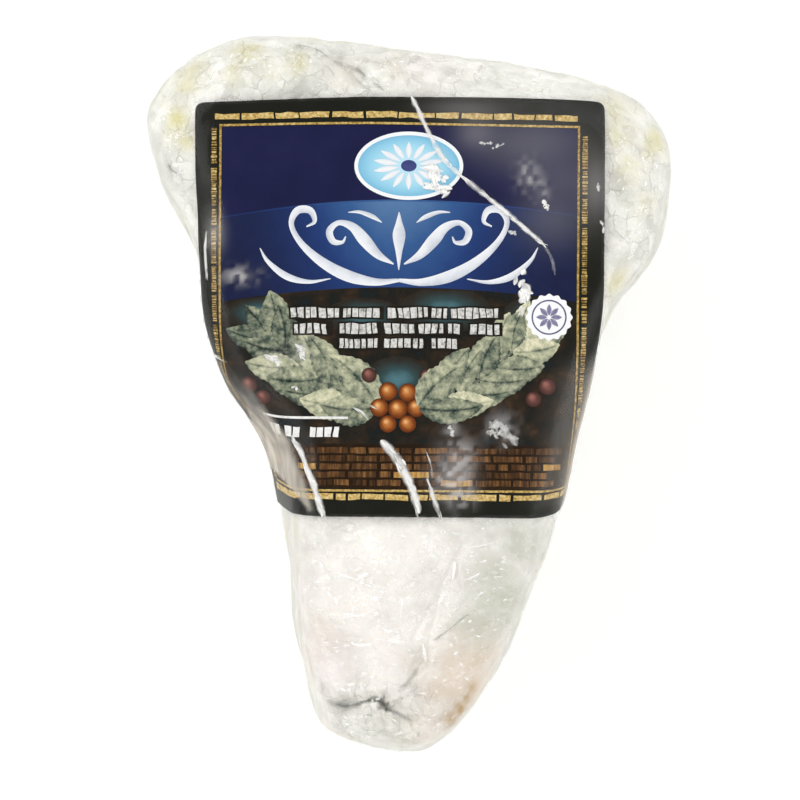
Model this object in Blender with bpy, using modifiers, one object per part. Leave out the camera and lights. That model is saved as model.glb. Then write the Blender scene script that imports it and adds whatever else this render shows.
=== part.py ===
"""A wedge of blue cheese sealed in tight clear film, with a square printed label round its front.

The wedge is about one eighth of a wheel. It lies on its back with the label side up: +Z is the
front, +Y runs from the pointed end (the wheel's middle) to the broad end (the wheel's rind).
Sizes are in millimetres, and metres() turns them into Blender's units when a mesh is made.
"""

import bmesh
import bpy
import numpy as np

# ---- whole wedge ---------------------------------------------------------------------------
THICKNESS = 48.0  # from the flat back to the front face
WIDEST_HEIGHT = 16.0  # height at which the wedge reaches its outline
BACK_LEAN = 2.5  # how far the sides draw in again towards the back
BACK_EDGE_RADIUS = 6.0
LEG_EDGE_RADIUS = 4.5  # front edge along the narrow half
SHOULDER_EDGE_RADIUS = 9.0  # front edge round the broad end
SHOULDER_BLEND = (24.0, 34.0)  # y over which the edge grows from one radius to the other
OUTLINE_STEPS = 6  # straight bits between two outline points

# Outline seen from the front: x, y, and how far the front edge lies inside it.
OUTLINE = (
    (-1.4, -64.3, 3.2),  # pointed end
    (6.9, -61.7, 3.2),
    (13.8, -53.8, 2.8),
    (19.8, -42.3, 2.4),  # right cut side
    (25.0, -29.3, 2.2),
    (27.5, -19.3, 1.8),
    (30.8, -4.1, 1.4),
    (35.8, 12.3, 1.4),
    (43.7, 23.2, 2.0),
    (47.1, 33.9, 2.6),  # right shoulder
    (46.7, 44.2, 2.8),
    (40.8, 52.8, 2.8),
    (27.5, 57.5, 2.4),  # rind side
    (6.8, 60.9, 2.4),
    (-10.4, 62.8, 2.4),
    (-26.6, 64.1, 2.6),
    (-36.1, 61.5, 2.8),
    (-43.9, 55.2, 2.8),  # left shoulder
    (-46.9, 47.4, 2.6),
    (-43.8, 35.8, 2.2),
    (-38.1, 25.3, 1.3),  # left waist
    (-36.4, 13.4, 1.5),
    (-32.8, 1.6, 3.0),
    (-25.6, -10.2, 6.0),  # left cut side
    (-22.2, -26.5, 4.0),
    (-20.8, -39.2, 3.0),
    (-18.7, -50.3, 2.6),
    (-14.7, -60.2, 3.0),
)

# ---- front face ----------------------------------------------------------------------------
SHOULDER_DROP = 2.2  # the front falls away outside the label
SHOULDER_DROP_SPAN = (31.0, 47.0)  # distance from the middle line over which it does
LEG_CROWN = 2.6  # the narrow half is domed from side to side
LEG_HALF_WIDTH = 24.0
LEG_CROWN_SPAN = (-30.0, -14.0)  # y over which the dome grows
TIP_DROP = 3.0
TIP_DROP_SPAN = (-66.0, -40.0)

# ---- relief --------------------------------------------------------------------------------
LUMP_HEIGHT = 0.75
LUMP_LENGTH = 21.0
BUMP_HEIGHT = 0.40
BUMP_LENGTH = 7.0
SIDE_RELIEF_SHARE = 0.45  # the film is pulled smoother round the sides than over the front
RELIEF_STARTS = (2.0, 8.0)  # heights between which the relief grows from nothing

# Grooves seen from the front: the line they follow, their depth and half width.
TIP_CREVICE = ((-11.8, -53.9), (-9.9, -54.6), (-6.6, -53.2), (-3.8, -53.9), (-0.3, -56.4), (0.6, -57.1))
TIP_CREVICE_SIZE = (1.8, 1.3)
TIP_FOLD = ((2.1, -46.8), (0.3, -49.4), (-1.9, -52.0))
TIP_FOLD_SIZE = (0.9, 1.2)
LEG_CREASE = ((8.0, -26.1), (5.4, -32.4), (1.3, -40.9))
LEG_CREASE_SIZE = (0.9, 2.6)
RIND_CRACK = ((-13.1, 58.4), (-10.2, 56.9), (-7.2, 54.8))
RIND_CRACK_SIZE = (0.9, 1.2)

# ---- label ---------------------------------------------------------------------------------
LABEL_WIDTH = 71.0
LABEL_HEIGHT = 72.6
LABEL_CENTRE = (-1.6, 14.8)
LABEL_TURN = np.radians(-0.4)
LABEL_GAP = 0.50  # from the film to the label's inner face
LABEL_WALL = 0.30
LABEL_COLUMNS = 36
LABEL_ROWS = 26
LABEL_TRACE_STEP = 0.5  # length of one step when a row is carried round the wedge
LABEL_MARGIN = 3.0  # the film is smooth under the label and this far past it
LABEL_REACH_DOWN = (12.0, 20.0)  # heights below which the relief returns

# ---- faceting ------------------------------------------------------------------------------
SEGMENTS_ROUND = 72
RINGS_ALONG = 60
TIP_CAP_SHARE = 0.13  # share of the rings that close the pointed end
HEEL_CAP_SHARE = 0.27  # share that closes the broad end
SPINE_TIP = np.array((-1.0, -50.0, 23.0))
SPINE_HEEL = np.array((0.5, 38.0, 23.0))
HALF_WIDTHS = ((-50.0, 16.0), (-10.0, 27.0), (38.0, 45.0))  # y, half width used to spread points
HALF_HEIGHT = 22.0
TIP_CAP_LENGTH = 14.0
HEEL_CAP_LENGTH = 25.0
FARTHEST_REACH = 90.0
HALVINGS = 34
NEWTON_STEPS = 3
PROBE = 0.02  # distance between the samples of a slope

CHEESE_COLOUR = (0.84, 0.83, 0.77, 1.0)
LABEL_COLOUR = (0.035, 0.04, 0.085, 1.0)


def metres(millimetres):
    """Lengths in metres."""
    return np.asarray(millimetres) * 0.001


def smooth_step(value, low, high):
    """0 below low, 1 above high, and an S-shaped change between them."""
    share = np.clip((value - low) / (high - low), 0.0, 1.0)
    return share * share * (3.0 - 2.0 * share)


def closed_curve(points, steps):
    """Catmull-Rom curve through every point of a closed loop, each row keeping all its values."""
    knots = np.array(points)
    before, after, beyond = (np.roll(knots, shift, axis=0) for shift in (1, -1, -2))
    rows = []
    for share in np.arange(steps) / steps:
        cubic = -before + 3.0 * knots - 3.0 * after + beyond
        square = 2.0 * before - 5.0 * knots + 4.0 * after - beyond
        line = after - before
        rows.append(knots + 0.5 * share * (line + share * (square + share * cubic)))
    return np.stack(rows, axis=1).reshape(-1, knots.shape[1])


OUTLINE_CURVE = closed_curve(OUTLINE, OUTLINE_STEPS)


def outline_distance(x, y):
    """Distance to the outline, negative inside it, and the front edge's inset at the nearest point."""
    start = OUTLINE_CURVE
    end = np.roll(OUTLINE_CURVE, -1, axis=0)
    along = end[:, :2] - start[:, :2]
    to_x = x[:, None] - start[:, 0]
    to_y = y[:, None] - start[:, 1]
    share = np.clip((to_x * along[:, 0] + to_y * along[:, 1]) / (along**2).sum(axis=1), 0.0, 1.0)
    distance = np.hypot(to_x - share * along[:, 0], to_y - share * along[:, 1])
    nearest = distance.argmin(axis=1)
    row = np.arange(len(x))
    share = share[row, nearest]
    inset = start[nearest, 2] * (1.0 - share) + end[nearest, 2] * share
    crosses = (start[:, 1] > y[:, None]) != (end[:, 1] > y[:, None])
    rise = np.where(along[:, 1] == 0.0, 1.0, along[:, 1])
    inside = (crosses & (to_x < to_y * along[:, 0] / rise)).sum(axis=1) % 2 == 1
    return np.where(inside, -1.0, 1.0) * distance[row, nearest], inset


def line_distance(x, y, line):
    """Distance in the front view from a line through the given points."""
    nearest = np.full(len(x), np.inf)
    for (start_x, start_y), (end_x, end_y) in zip(line, line[1:]):
        along_x = end_x - start_x
        along_y = end_y - start_y
        share = ((x - start_x) * along_x + (y - start_y) * along_y) / (along_x**2 + along_y**2)
        share = np.clip(share, 0.0, 1.0)
        distance = np.hypot(x - start_x - share * along_x, y - start_y - share * along_y)
        nearest = np.minimum(nearest, distance)
    return nearest


def waves(points, length, seed):
    """Uneven lumps from -1 to 1: the mean of six waves of about one length in seeded directions."""
    draw = np.random.default_rng(seed)
    heights = np.zeros(len(points))
    for _ in range(6):
        direction = draw.normal(size=3)
        direction *= draw.uniform(0.75, 1.3) * 2.0 * np.pi / (length * np.linalg.norm(direction))
        heights += np.sin(points @ direction + draw.uniform(0.0, 2.0 * np.pi))
    return heights / 3.0


def front_height(x, y):
    """Height of the front face: level under the label, lower at the shoulders, leg and tip."""
    drop = SHOULDER_DROP * smooth_step(np.abs(x), *SHOULDER_DROP_SPAN)
    leg = 1.0 - smooth_step(y, *LEG_CROWN_SPAN)
    drop += LEG_CROWN * leg * (x / LEG_HALF_WIDTH) ** 2
    drop += TIP_DROP * (1.0 - smooth_step(y, *TIP_DROP_SPAN))
    return THICKNESS - drop


def under_label(x, y, z):
    """1 where the film is held smooth by the label, 0 clear of it."""
    across = np.abs(x - LABEL_CENTRE[0]) - 0.5 * LABEL_WIDTH
    along = np.abs(y - LABEL_CENTRE[1]) - 0.5 * LABEL_HEIGHT
    beside = 1.0 - smooth_step(np.maximum(across, along), 0.0, LABEL_MARGIN)
    return beside * smooth_step(z, *LABEL_REACH_DOWN)


def relief(points):
    """How far lumps and bumps stand out of the plain wedge."""
    height = LUMP_HEIGHT * waves(points, LUMP_LENGTH, seed=3)
    height += BUMP_HEIGHT * waves(points, BUMP_LENGTH, seed=8)
    height *= 1.0 - under_label(*points.T)
    return height * smooth_step(points[:, 2], *RELIEF_STARTS)


def groove_depth(x, y):
    """How far the crevices, folds and creases sink into the front."""
    grooves = (
        (TIP_CREVICE, TIP_CREVICE_SIZE),
        (TIP_FOLD, TIP_FOLD_SIZE),
        (LEG_CREASE, LEG_CREASE_SIZE),
        (RIND_CRACK, RIND_CRACK_SIZE),
    )
    sunk = np.zeros(len(x))
    for line, (depth, half_width) in grooves:
        sunk += depth * np.exp(-((line_distance(x, y, line) / half_width) ** 2))
    return sunk


def rounded_corner(first, second, radius):
    """Both distances held inside at once, with a round edge where their surfaces would meet."""
    past_first = np.maximum(first + radius, 0.0)
    past_second = np.maximum(second + radius, 0.0)
    return np.minimum(np.maximum(first, second), -radius) + np.hypot(past_first, past_second)


def wedge_distance(points):
    """Distance from the film's outer surface, negative inside the wedge."""
    x, y, z = points.T
    side, inset = outline_distance(x, y)
    above = np.clip((z - WIDEST_HEIGHT) / (THICKNESS - WIDEST_HEIGHT), 0.0, 1.2)
    below = np.clip((WIDEST_HEIGHT - z) / WIDEST_HEIGHT, 0.0, 1.2)
    lumps = relief(points)
    side = side + inset * above**2 + BACK_LEAN * below**2 - SIDE_RELIEF_SHARE * lumps
    front = z - front_height(x, y) + groove_depth(x, y) - lumps
    shoulder = smooth_step(y, *SHOULDER_BLEND)
    front_radius = LEG_EDGE_RADIUS + (SHOULDER_EDGE_RADIUS - LEG_EDGE_RADIUS) * shoulder
    return rounded_corner(rounded_corner(side, front, front_radius), -z, BACK_EDGE_RADIUS)


def slope(points):
    """Gradient of the distance, from samples on both sides of each point."""
    sides = []
    for axis in np.eye(3) * PROBE:
        sides.append((wedge_distance(points + axis) - wedge_distance(points - axis)) / (2.0 * PROBE))
    return np.stack(sides, axis=1)


def spread_rays(sphere):
    """Start and direction of the ray that carries each point of a unit sphere to the wedge.

    The sphere's poles become the two ends. The rings between the two caps start from a spine
    inside the wedge and run square to it, and the rings of each cap fan out from its end.
    """
    turn = np.arctan2(sphere[:, 1], sphere[:, 0])
    share = 0.5 + np.arcsin(np.clip(sphere[:, 2], -1.0, 1.0)) / np.pi
    middle = np.clip((share - TIP_CAP_SHARE) / (1.0 - TIP_CAP_SHARE - HEEL_CAP_SHARE), 0.0, 1.0)
    start = SPINE_TIP + middle[:, None] * (SPINE_HEEL - SPINE_TIP)
    tip_rise = 0.5 * np.pi * np.clip(1.0 - share / TIP_CAP_SHARE, 0.0, 1.0)
    heel_rise = 0.5 * np.pi * np.clip(1.0 - (1.0 - share) / HEEL_CAP_SHARE, 0.0, 1.0)
    half_width = np.interp(start[:, 1], *zip(*HALF_WIDTHS))
    outward = np.cos(tip_rise) * np.cos(heel_rise)
    direction = np.stack(
        (
            outward * np.cos(turn) * half_width,
            HEEL_CAP_LENGTH * np.sin(heel_rise) - TIP_CAP_LENGTH * np.sin(tip_rise),
            -outward * np.sin(turn) * HALF_HEIGHT,
        ),
        axis=1,
    )
    return start, direction / np.linalg.norm(direction, axis=1, keepdims=True)


def carried_to_wedge(sphere):
    """Each point of a unit sphere carried out along its ray to the wedge's surface, by halving."""
    start, direction = spread_rays(sphere)
    near = np.zeros(len(sphere))
    far = np.full(len(sphere), FARTHEST_REACH)
    for _ in range(HALVINGS):
        middle = 0.5 * (near + far)
        inside = wedge_distance(start + middle[:, None] * direction) < 0.0
        near = np.where(inside, middle, near)
        far = np.where(inside, far, middle)
    points = start + near[:, None] * direction
    points[np.abs(points[:, 2]) < 1e-4, 2] = 0.0
    return points


def settled(points, height):
    """Points moved square to the surface until they lie at one height above it."""
    for _ in range(NEWTON_STEPS):
        normal = slope(points)
        error = wedge_distance(points) - height
        points = points - error[:, None] * normal / (normal**2).sum(axis=1, keepdims=True)
    return points


def label_grid():
    """Rows of points that start on the label's middle column and run straight round the wedge."""
    turned = np.array((np.cos(LABEL_TURN), np.sin(LABEL_TURN), 0.0))
    up = np.array((-np.sin(LABEL_TURN), np.cos(LABEL_TURN), 0.0))
    heights = np.linspace(-0.5, 0.5, LABEL_ROWS + 1) * LABEL_HEIGHT
    column = np.array((*LABEL_CENTRE, THICKNESS)) + heights[:, None] * up
    column = settled(column, LABEL_GAP)
    column_spacing = LABEL_WIDTH / LABEL_COLUMNS
    steps_each = int(round(column_spacing / LABEL_TRACE_STEP))
    halves = []
    for way in (-1.0, 1.0):
        points = column
        heading = np.tile(way * turned, (len(column), 1))
        columns = []
        for step in range(LABEL_COLUMNS // 2 * steps_each):
            points = settled(points + heading * column_spacing / steps_each, LABEL_GAP)
            normal = slope(points)
            normal /= np.linalg.norm(normal, axis=1, keepdims=True)
            heading = heading - (heading * normal).sum(axis=1, keepdims=True) * normal
            heading /= np.linalg.norm(heading, axis=1, keepdims=True)
            if step % steps_each == steps_each - 1:
                columns.append(points)
        halves.append(columns)
    return np.stack(halves[0][::-1] + [column] + halves[1], axis=1)


def principled(name, colour, roughness):
    """Plain material of one colour."""
    material = bpy.data.materials.new(name)
    material.use_nodes = True
    shader = material.node_tree.nodes["Principled BSDF"]
    shader.inputs["Base Color"].default_value = colour
    shader.inputs["Roughness"].default_value = roughness
    shader.inputs["Metallic"].default_value = 0.0
    return material


def make_wrapped_cheese(collection):
    """The wedge in its film: a sphere of quads carried out to the wedge's surface."""
    ball = bmesh.new()
    bmesh.ops.create_uvsphere(ball, u_segments=SEGMENTS_ROUND, v_segments=RINGS_ALONG, radius=1.0)
    sphere = np.array([vertex.co[:] for vertex in ball.verts])
    for vertex, place in zip(ball.verts, metres(carried_to_wedge(sphere))):
        vertex.co = place
    bmesh.ops.recalc_face_normals(ball, faces=ball.faces)
    mesh = bpy.data.meshes.new("wrapped_cheese")
    ball.to_mesh(mesh)
    ball.free()
    mesh.shade_smooth()
    mesh.materials.append(principled("wrapped_cheese", CHEESE_COLOUR, 0.25))
    collection.objects.link(bpy.data.objects.new("wrapped_cheese", mesh))


def make_label(collection):
    """The label: one bent sheet whose wall grows outwards from its inner face."""
    grid = label_grid()
    rows, columns = grid.shape[:2]
    corner = np.arange((rows - 1) * columns).reshape(rows - 1, columns)[:, :-1].ravel()
    quads = np.stack((corner, corner + 1, corner + columns + 1, corner + columns), axis=1)
    mesh = bpy.data.meshes.new("label")
    mesh.from_pydata(metres(grid.reshape(-1, 3)), [], quads.tolist())
    mesh.shade_smooth()
    mesh.materials.append(principled("label", LABEL_COLOUR, 0.2))
    label = bpy.data.objects.new("label", mesh)
    collection.objects.link(label)
    wall = label.modifiers.new("wall", "SOLIDIFY")
    wall.thickness = float(metres(LABEL_WALL))
    wall.offset = 1.0


def main():
    for old in list(bpy.data.objects):
        bpy.data.objects.remove(old, do_unlink=True)
    collection = bpy.data.collections.new("blue_cheese")
    bpy.context.scene.collection.children.link(collection)
    make_wrapped_cheese(collection)
    make_label(collection)


main()
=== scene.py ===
"""Looks of a blue cheese wedge: crumbly cheese in tight clear film, with a printed label.

Every surface is a function of two parameters, worked out on a grid in millimetres. The mesh
builder turns the result into metres. The wedge's form is the one that the frame's solids have:
+Z is the labelled front and +Y runs from the pointed end to the rind.
"""

import bpy
import numpy as np
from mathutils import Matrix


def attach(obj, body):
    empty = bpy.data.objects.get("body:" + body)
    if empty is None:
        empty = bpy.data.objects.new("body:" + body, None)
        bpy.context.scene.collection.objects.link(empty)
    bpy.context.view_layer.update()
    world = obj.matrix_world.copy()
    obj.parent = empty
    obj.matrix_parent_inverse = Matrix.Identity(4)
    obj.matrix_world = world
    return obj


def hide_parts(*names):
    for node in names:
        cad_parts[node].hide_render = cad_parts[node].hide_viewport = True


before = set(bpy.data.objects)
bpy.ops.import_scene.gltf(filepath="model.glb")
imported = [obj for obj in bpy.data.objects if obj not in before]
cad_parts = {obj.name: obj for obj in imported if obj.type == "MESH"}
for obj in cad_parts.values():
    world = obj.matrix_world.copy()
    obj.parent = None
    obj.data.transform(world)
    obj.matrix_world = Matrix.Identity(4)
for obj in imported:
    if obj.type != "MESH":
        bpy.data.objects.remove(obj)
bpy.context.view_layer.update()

MM = 0.001

# ---- the wedge, as its solid has it ----------------------------------------------------------
THICKNESS = 48.0
WIDEST_HEIGHT = 16.0
BACK_LEAN = 2.5
BACK_EDGE_RADIUS = 6.0
LEG_EDGE_RADIUS = 4.5
SHOULDER_EDGE_RADIUS = 9.0
SHOULDER_BLEND = (24.0, 34.0)
OUTLINE_STEPS = 6
OUTLINE = (  # x, y, and how far the front edge lies inside the outline
    (-1.4, -64.3, 3.2),
    (6.9, -61.7, 3.2),
    (13.8, -53.8, 2.8),
    (19.8, -42.3, 2.4),
    (25.0, -29.3, 2.2),
    (27.5, -19.3, 1.8),
    (30.8, -4.1, 1.4),
    (35.8, 12.3, 1.4),
    (43.7, 23.2, 2.0),
    (47.1, 33.9, 2.6),
    (46.7, 44.2, 2.8),
    (40.8, 52.8, 2.8),
    (27.5, 57.5, 2.4),
    (6.8, 60.9, 2.4),
    (-10.4, 62.8, 2.4),
    (-26.6, 64.1, 2.6),
    (-36.1, 61.5, 2.8),
    (-43.9, 55.2, 2.8),
    (-46.9, 47.4, 2.6),
    (-43.8, 35.8, 2.2),
    (-38.1, 25.3, 1.3),
    (-36.4, 13.4, 1.5),
    (-32.8, 1.6, 3.0),
    (-25.6, -10.2, 6.0),
    (-22.2, -26.5, 4.0),
    (-20.8, -39.2, 3.0),
    (-18.7, -50.3, 2.6),
    (-14.7, -60.2, 3.0),
)
SHOULDER_DROP = 2.2
SHOULDER_DROP_SPAN = (31.0, 47.0)
LEG_CROWN = 2.6
LEG_HALF_WIDTH = 24.0
LEG_CROWN_SPAN = (-30.0, -14.0)
TIP_DROP = 3.0
TIP_DROP_SPAN = (-66.0, -40.0)
LUMP_HEIGHT = 0.75
LUMP_LENGTH = 21.0
BUMP_HEIGHT = 0.40
BUMP_LENGTH = 7.0
SIDE_RELIEF_SHARE = 0.45
RELIEF_STARTS = (2.0, 8.0)
TIP_CREVICE = ((-11.8, -53.9), (-9.9, -54.6), (-6.6, -53.2), (-3.8, -53.9), (-0.3, -56.4), (0.6, -57.1))
TIP_CREVICE_SIZE = (1.8, 1.3)
TIP_FOLD = ((2.1, -46.8), (0.3, -49.4), (-1.9, -52.0))
TIP_FOLD_SIZE = (0.9, 1.2)
LEG_CREASE = ((8.0, -26.1), (5.4, -32.4), (1.3, -40.9))
LEG_CREASE_SIZE = (0.9, 2.6)
RIND_CRACK = ((-13.1, 58.4), (-10.2, 56.9), (-7.2, 54.8))
RIND_CRACK_SIZE = (0.9, 1.2)
# Fine folds that only the paste and the film have.
LEG_FOLDS = (
    ((9.6, -26.1), (7.7, -29.1), (4.9, -34.3), (3.0, -38.2), (0.7, -42.3)),
    ((5.8, -35.0), (4.4, -40.0), (3.0, -44.6)),
    ((3.9, -44.8), (2.4, -46.6), (1.2, -48.2)),
    ((12.4, -22.6), (15.0, -26.0), (19.0, -28.4)),
)
LEG_FOLD_SIZE = (0.42, 0.75)

# ---- grid that carries the cheese and the film ------------------------------------------------
RINGS = 300
SEGMENTS = 316
FRONT_CROWDING = 0.45  # how much closer the grid lines lie on the front than halfway round
TIP_CAP_SHARE = 0.13
HEEL_CAP_SHARE = 0.27
SPINE_TIP = np.array((-1.0, -50.0, 23.0))
SPINE_HEEL = np.array((0.5, 38.0, 23.0))
HALF_WIDTHS = ((-50.0, 16.0), (-10.0, 27.0), (38.0, 45.0))
HALF_HEIGHT = 22.0
TIP_CAP_LENGTH = 14.0
HEEL_CAP_LENGTH = 25.0
FARTHEST_REACH = 90.0
HALVINGS = 22
FRONT_SOUGHT = (12.0, THICKNESS + 3.0)  # the front lies between these heights
PROBE = 0.15
FIELD_STEP = 0.25  # spacing of the lattice that the outline's distance is kept on
FIELD_HALF_SIZE = (56.0, 74.0)

# ---- label ------------------------------------------------------------------------------------
LABEL_WIDTH = 71.0
LABEL_HEIGHT = 72.6
LABEL_CENTRE = (-1.6, 14.8)
LABEL_TURN = np.radians(-0.4)
LABEL_GAP = 0.50
LABEL_MARGIN = 3.0
LABEL_REACH_DOWN = (12.0, 20.0)
LABEL_CORNER = 1.3
# The film has drawn the label's upper left corner down. The sag grows from the middle to the
# left (u) and from the lower part upwards (v). Both spans end beyond the corner.
FULL_SAG = 0.9 / 0.65
SAG_SPAN_U = (0.0, 45.0)
SAG_SPAN_V = (-25.0, 45.0)
TRACE_STEP = 0.5
TRACE_PAST = 4.0  # the traced sheet runs on past the label by this much, for the film over it

# ---- layers, as heights over the traced sheet or over the wedge ---------------------------------
PAPER_LIFT = 0.040
FIELD_LIFT = 0.065
GLOW_LIFT = 0.085
SHAPE_LIFT = 0.105
LEAF_LIFT_STEP = 0.0035  # each printed leaf lies over the one before
BERRY_LIFT = 0.200
SHADE_LIFT = 0.210
DASH_LIFT = 0.230
LABEL_FILM_LIFT = 0.275
PLEAT_LIFT = 0.300
PLEAT_RIDGE = 0.06
FILM_DEPTH = 0.25
CHEESE_DEPTH = 0.72


# ================================ small maths ==================================================
def smooth_step(value, low, high):
    """0 below low, 1 above high, and an S-shaped change between them."""
    share = np.clip((value - low) / (high - low), 0.0, 1.0)
    return share * share * (3.0 - 2.0 * share)


def curve_through(points, steps, closed=False):
    """Catmull-Rom curve through every point, each row keeping all its values."""
    knots = np.array(points, dtype=float)
    if closed:
        padded = np.concatenate((knots[-1:], knots, knots[:2]))
    else:
        padded = np.concatenate((2.0 * knots[:1] - knots[1:2], knots, 2.0 * knots[-1:] - knots[-2:-1]))
    before, start, after, beyond = padded[:-3], padded[1:-2], padded[2:-1], padded[3:]
    rows = []
    for share in np.arange(steps) / steps:
        cubic = -before + 3.0 * start - 3.0 * after + beyond
        square = 2.0 * before - 5.0 * start + 4.0 * after - beyond
        rows.append(start + 0.5 * share * (after - before + share * (square + share * cubic)))
    curve = np.stack(rows, axis=1).reshape(-1, knots.shape[1])
    return curve if closed else np.concatenate((curve, knots[-1:]))


def line_distance(x, y, line):
    """Distance in the front view from a line through the given points."""
    nearest = np.full(x.shape, np.inf)
    for (start_x, start_y), (end_x, end_y) in zip(line, line[1:]):
        along_x = end_x - start_x
        along_y = end_y - start_y
        share = ((x - start_x) * along_x + (y - start_y) * along_y) / (along_x**2 + along_y**2)
        share = np.clip(share, 0.0, 1.0)
        distance = np.hypot(x - start_x - share * along_x, y - start_y - share * along_y)
        nearest = np.minimum(nearest, distance)
    return nearest


def flat_points(u, v):
    """Places in a plane as rows of three values, for the patterns that take points in space."""
    return np.stack((u.ravel(), v.ravel(), np.zeros(u.size)), axis=1)


def unit(vectors):
    """Vectors of length one."""
    return vectors / np.linalg.norm(vectors, axis=-1, keepdims=True)


def blended(table, across, along):
    """Entries of a table at fractional places, blended between the four nearest."""
    across = np.clip(across, 0.0, table.shape[0] - 1.001)
    along = np.clip(along, 0.0, table.shape[1] - 1.001)
    column = across.astype(int)
    row = along.astype(int)
    share_across = (across - column)[..., None]
    share_along = (along - row)[..., None]
    low = table[column, row] * (1.0 - share_across) + table[column + 1, row] * share_across
    high = table[column, row + 1] * (1.0 - share_across) + table[column + 1, row + 1] * share_across
    return low * (1.0 - share_along) + high * share_along


def waves(points, length, seed):
    """Uneven lumps, mostly between -1 and 1: waves of about one length in seeded directions."""
    draw = np.random.default_rng(seed)
    heights = np.zeros(len(points))
    for _ in range(WAVE_COUNT):
        direction = draw.normal(size=3)
        direction *= draw.uniform(0.75, 1.3) * 2.0 * np.pi / (length * np.linalg.norm(direction))
        heights += np.sin(points @ direction + draw.uniform(0.0, 2.0 * np.pi))
    return heights / (0.5 * WAVE_COUNT)


WAVE_COUNT = 6
LATTICE_SIZE = 48
LATTICE_SHIFT = 1000.0  # keeps every cell's number above 0
LATTICE = np.random.default_rng(21).random((LATTICE_SIZE, LATTICE_SIZE, LATTICE_SIZE, 4))


def lattice_values(cell):
    """Four seeded random numbers from 0 to 1 for each whole-numbered cell."""
    x, y, z = (cell % LATTICE_SIZE).T
    return LATTICE[x, y, z]


def cloud(points, size, channel=0):
    """Soft random patches from 0 to 1: lattice values blended smoothly between cell corners."""
    place = points / size + LATTICE_SHIFT
    cell = np.floor(place).astype(int)
    share = place - cell
    share = share * share * (3.0 - 2.0 * share)
    total = np.zeros(len(points))
    for corner in np.ndindex(2, 2, 2):
        weight = np.prod(np.where(np.array(corner), share, 1.0 - share), axis=1)
        total += weight * lattice_values(cell + corner)[:, channel]
    return total


def crumbs(points, size):
    """Broken-cell pattern: for each point the nearest of the jittered cell seeds, as its four
    random numbers, the way to it, and how much farther the second nearest seed is.
    """
    place = points / size + LATTICE_SHIFT
    cell = np.floor(place).astype(int)
    first = np.full(len(points), np.inf)
    second = np.full(len(points), np.inf)
    values = np.zeros((len(points), 4))
    way = np.zeros((len(points), 3))
    for step in np.ndindex(3, 3, 3):
        near = cell + np.array(step) - 1
        random = lattice_values(near)
        offset = near + random[:, :3] - place
        distance = np.linalg.norm(offset, axis=1)
        closer = distance < first
        second = np.where(closer, first, np.minimum(second, distance))
        first = np.where(closer, distance, first)
        values[closer] = random[closer]
        way[closer] = offset[closer]
    return values, way * size, (second - first) * size


# ================================ form of the wedge ============================================
def outline_field():
    """Signed distance to the outline and the edge's inset at its nearest point, on a lattice."""
    start = curve_through(OUTLINE, OUTLINE_STEPS, closed=True)
    end = np.roll(start, -1, axis=0)
    along = end[:, :2] - start[:, :2]
    half_x, half_y = FIELD_HALF_SIZE
    lattice_x = np.arange(-half_x, half_x + FIELD_STEP, FIELD_STEP)
    lattice_y = np.arange(-half_y, half_y + FIELD_STEP, FIELD_STEP)
    distances = []
    insets = []
    for x in lattice_x:
        to_x = x - start[:, 0]
        to_y = lattice_y[:, None] - start[:, 1]
        share = np.clip((to_x * along[:, 0] + to_y * along[:, 1]) / (along**2).sum(axis=1), 0.0, 1.0)
        distance = np.hypot(to_x - share * along[:, 0], to_y - share * along[:, 1])
        nearest = distance.argmin(axis=1)
        row = np.arange(len(lattice_y))
        share = share[row, nearest]
        crosses = (start[:, 1] > lattice_y[:, None]) != (end[:, 1] > lattice_y[:, None])
        rise = np.where(along[:, 1] == 0.0, 1.0, along[:, 1])
        inside = (crosses & (to_x < to_y * along[:, 0] / rise)).sum(axis=1) % 2 == 1
        distances.append(np.where(inside, -1.0, 1.0) * distance[row, nearest])
        insets.append(start[nearest, 2] * (1.0 - share) + end[nearest, 2] * share)
    return np.stack((np.array(distances), np.array(insets)), axis=-1)


OUTLINE_FIELD = outline_field()


def outline_distance(x, y):
    """Distance to the outline, negative inside it, and the front edge's inset, at any place."""
    half_x, half_y = FIELD_HALF_SIZE
    return blended(OUTLINE_FIELD, (x + half_x) / FIELD_STEP, (y + half_y) / FIELD_STEP).T


def front_height(x, y):
    """Height of the front face: level under the label, lower at the shoulders, leg and tip."""
    drop = SHOULDER_DROP * smooth_step(np.abs(x), *SHOULDER_DROP_SPAN)
    leg = 1.0 - smooth_step(y, *LEG_CROWN_SPAN)
    drop += LEG_CROWN * leg * (x / LEG_HALF_WIDTH) ** 2
    drop += TIP_DROP * (1.0 - smooth_step(y, *TIP_DROP_SPAN))
    return THICKNESS - drop


def under_label(x, y, z):
    """1 where the film is held smooth by the label, 0 clear of it."""
    across = np.abs(x - LABEL_CENTRE[0]) - 0.5 * LABEL_WIDTH
    along = np.abs(y - LABEL_CENTRE[1]) - 0.5 * LABEL_HEIGHT
    beside = 1.0 - smooth_step(np.maximum(across, along), 0.0, LABEL_MARGIN)
    return beside * smooth_step(z, *LABEL_REACH_DOWN)


def relief(points):
    """How far lumps and bumps stand out of the plain wedge."""
    height = LUMP_HEIGHT * waves(points, LUMP_LENGTH, seed=3)
    height += BUMP_HEIGHT * waves(points, BUMP_LENGTH, seed=8)
    height *= 1.0 - under_label(*points.T)
    return height * smooth_step(points[:, 2], *RELIEF_STARTS)


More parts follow.
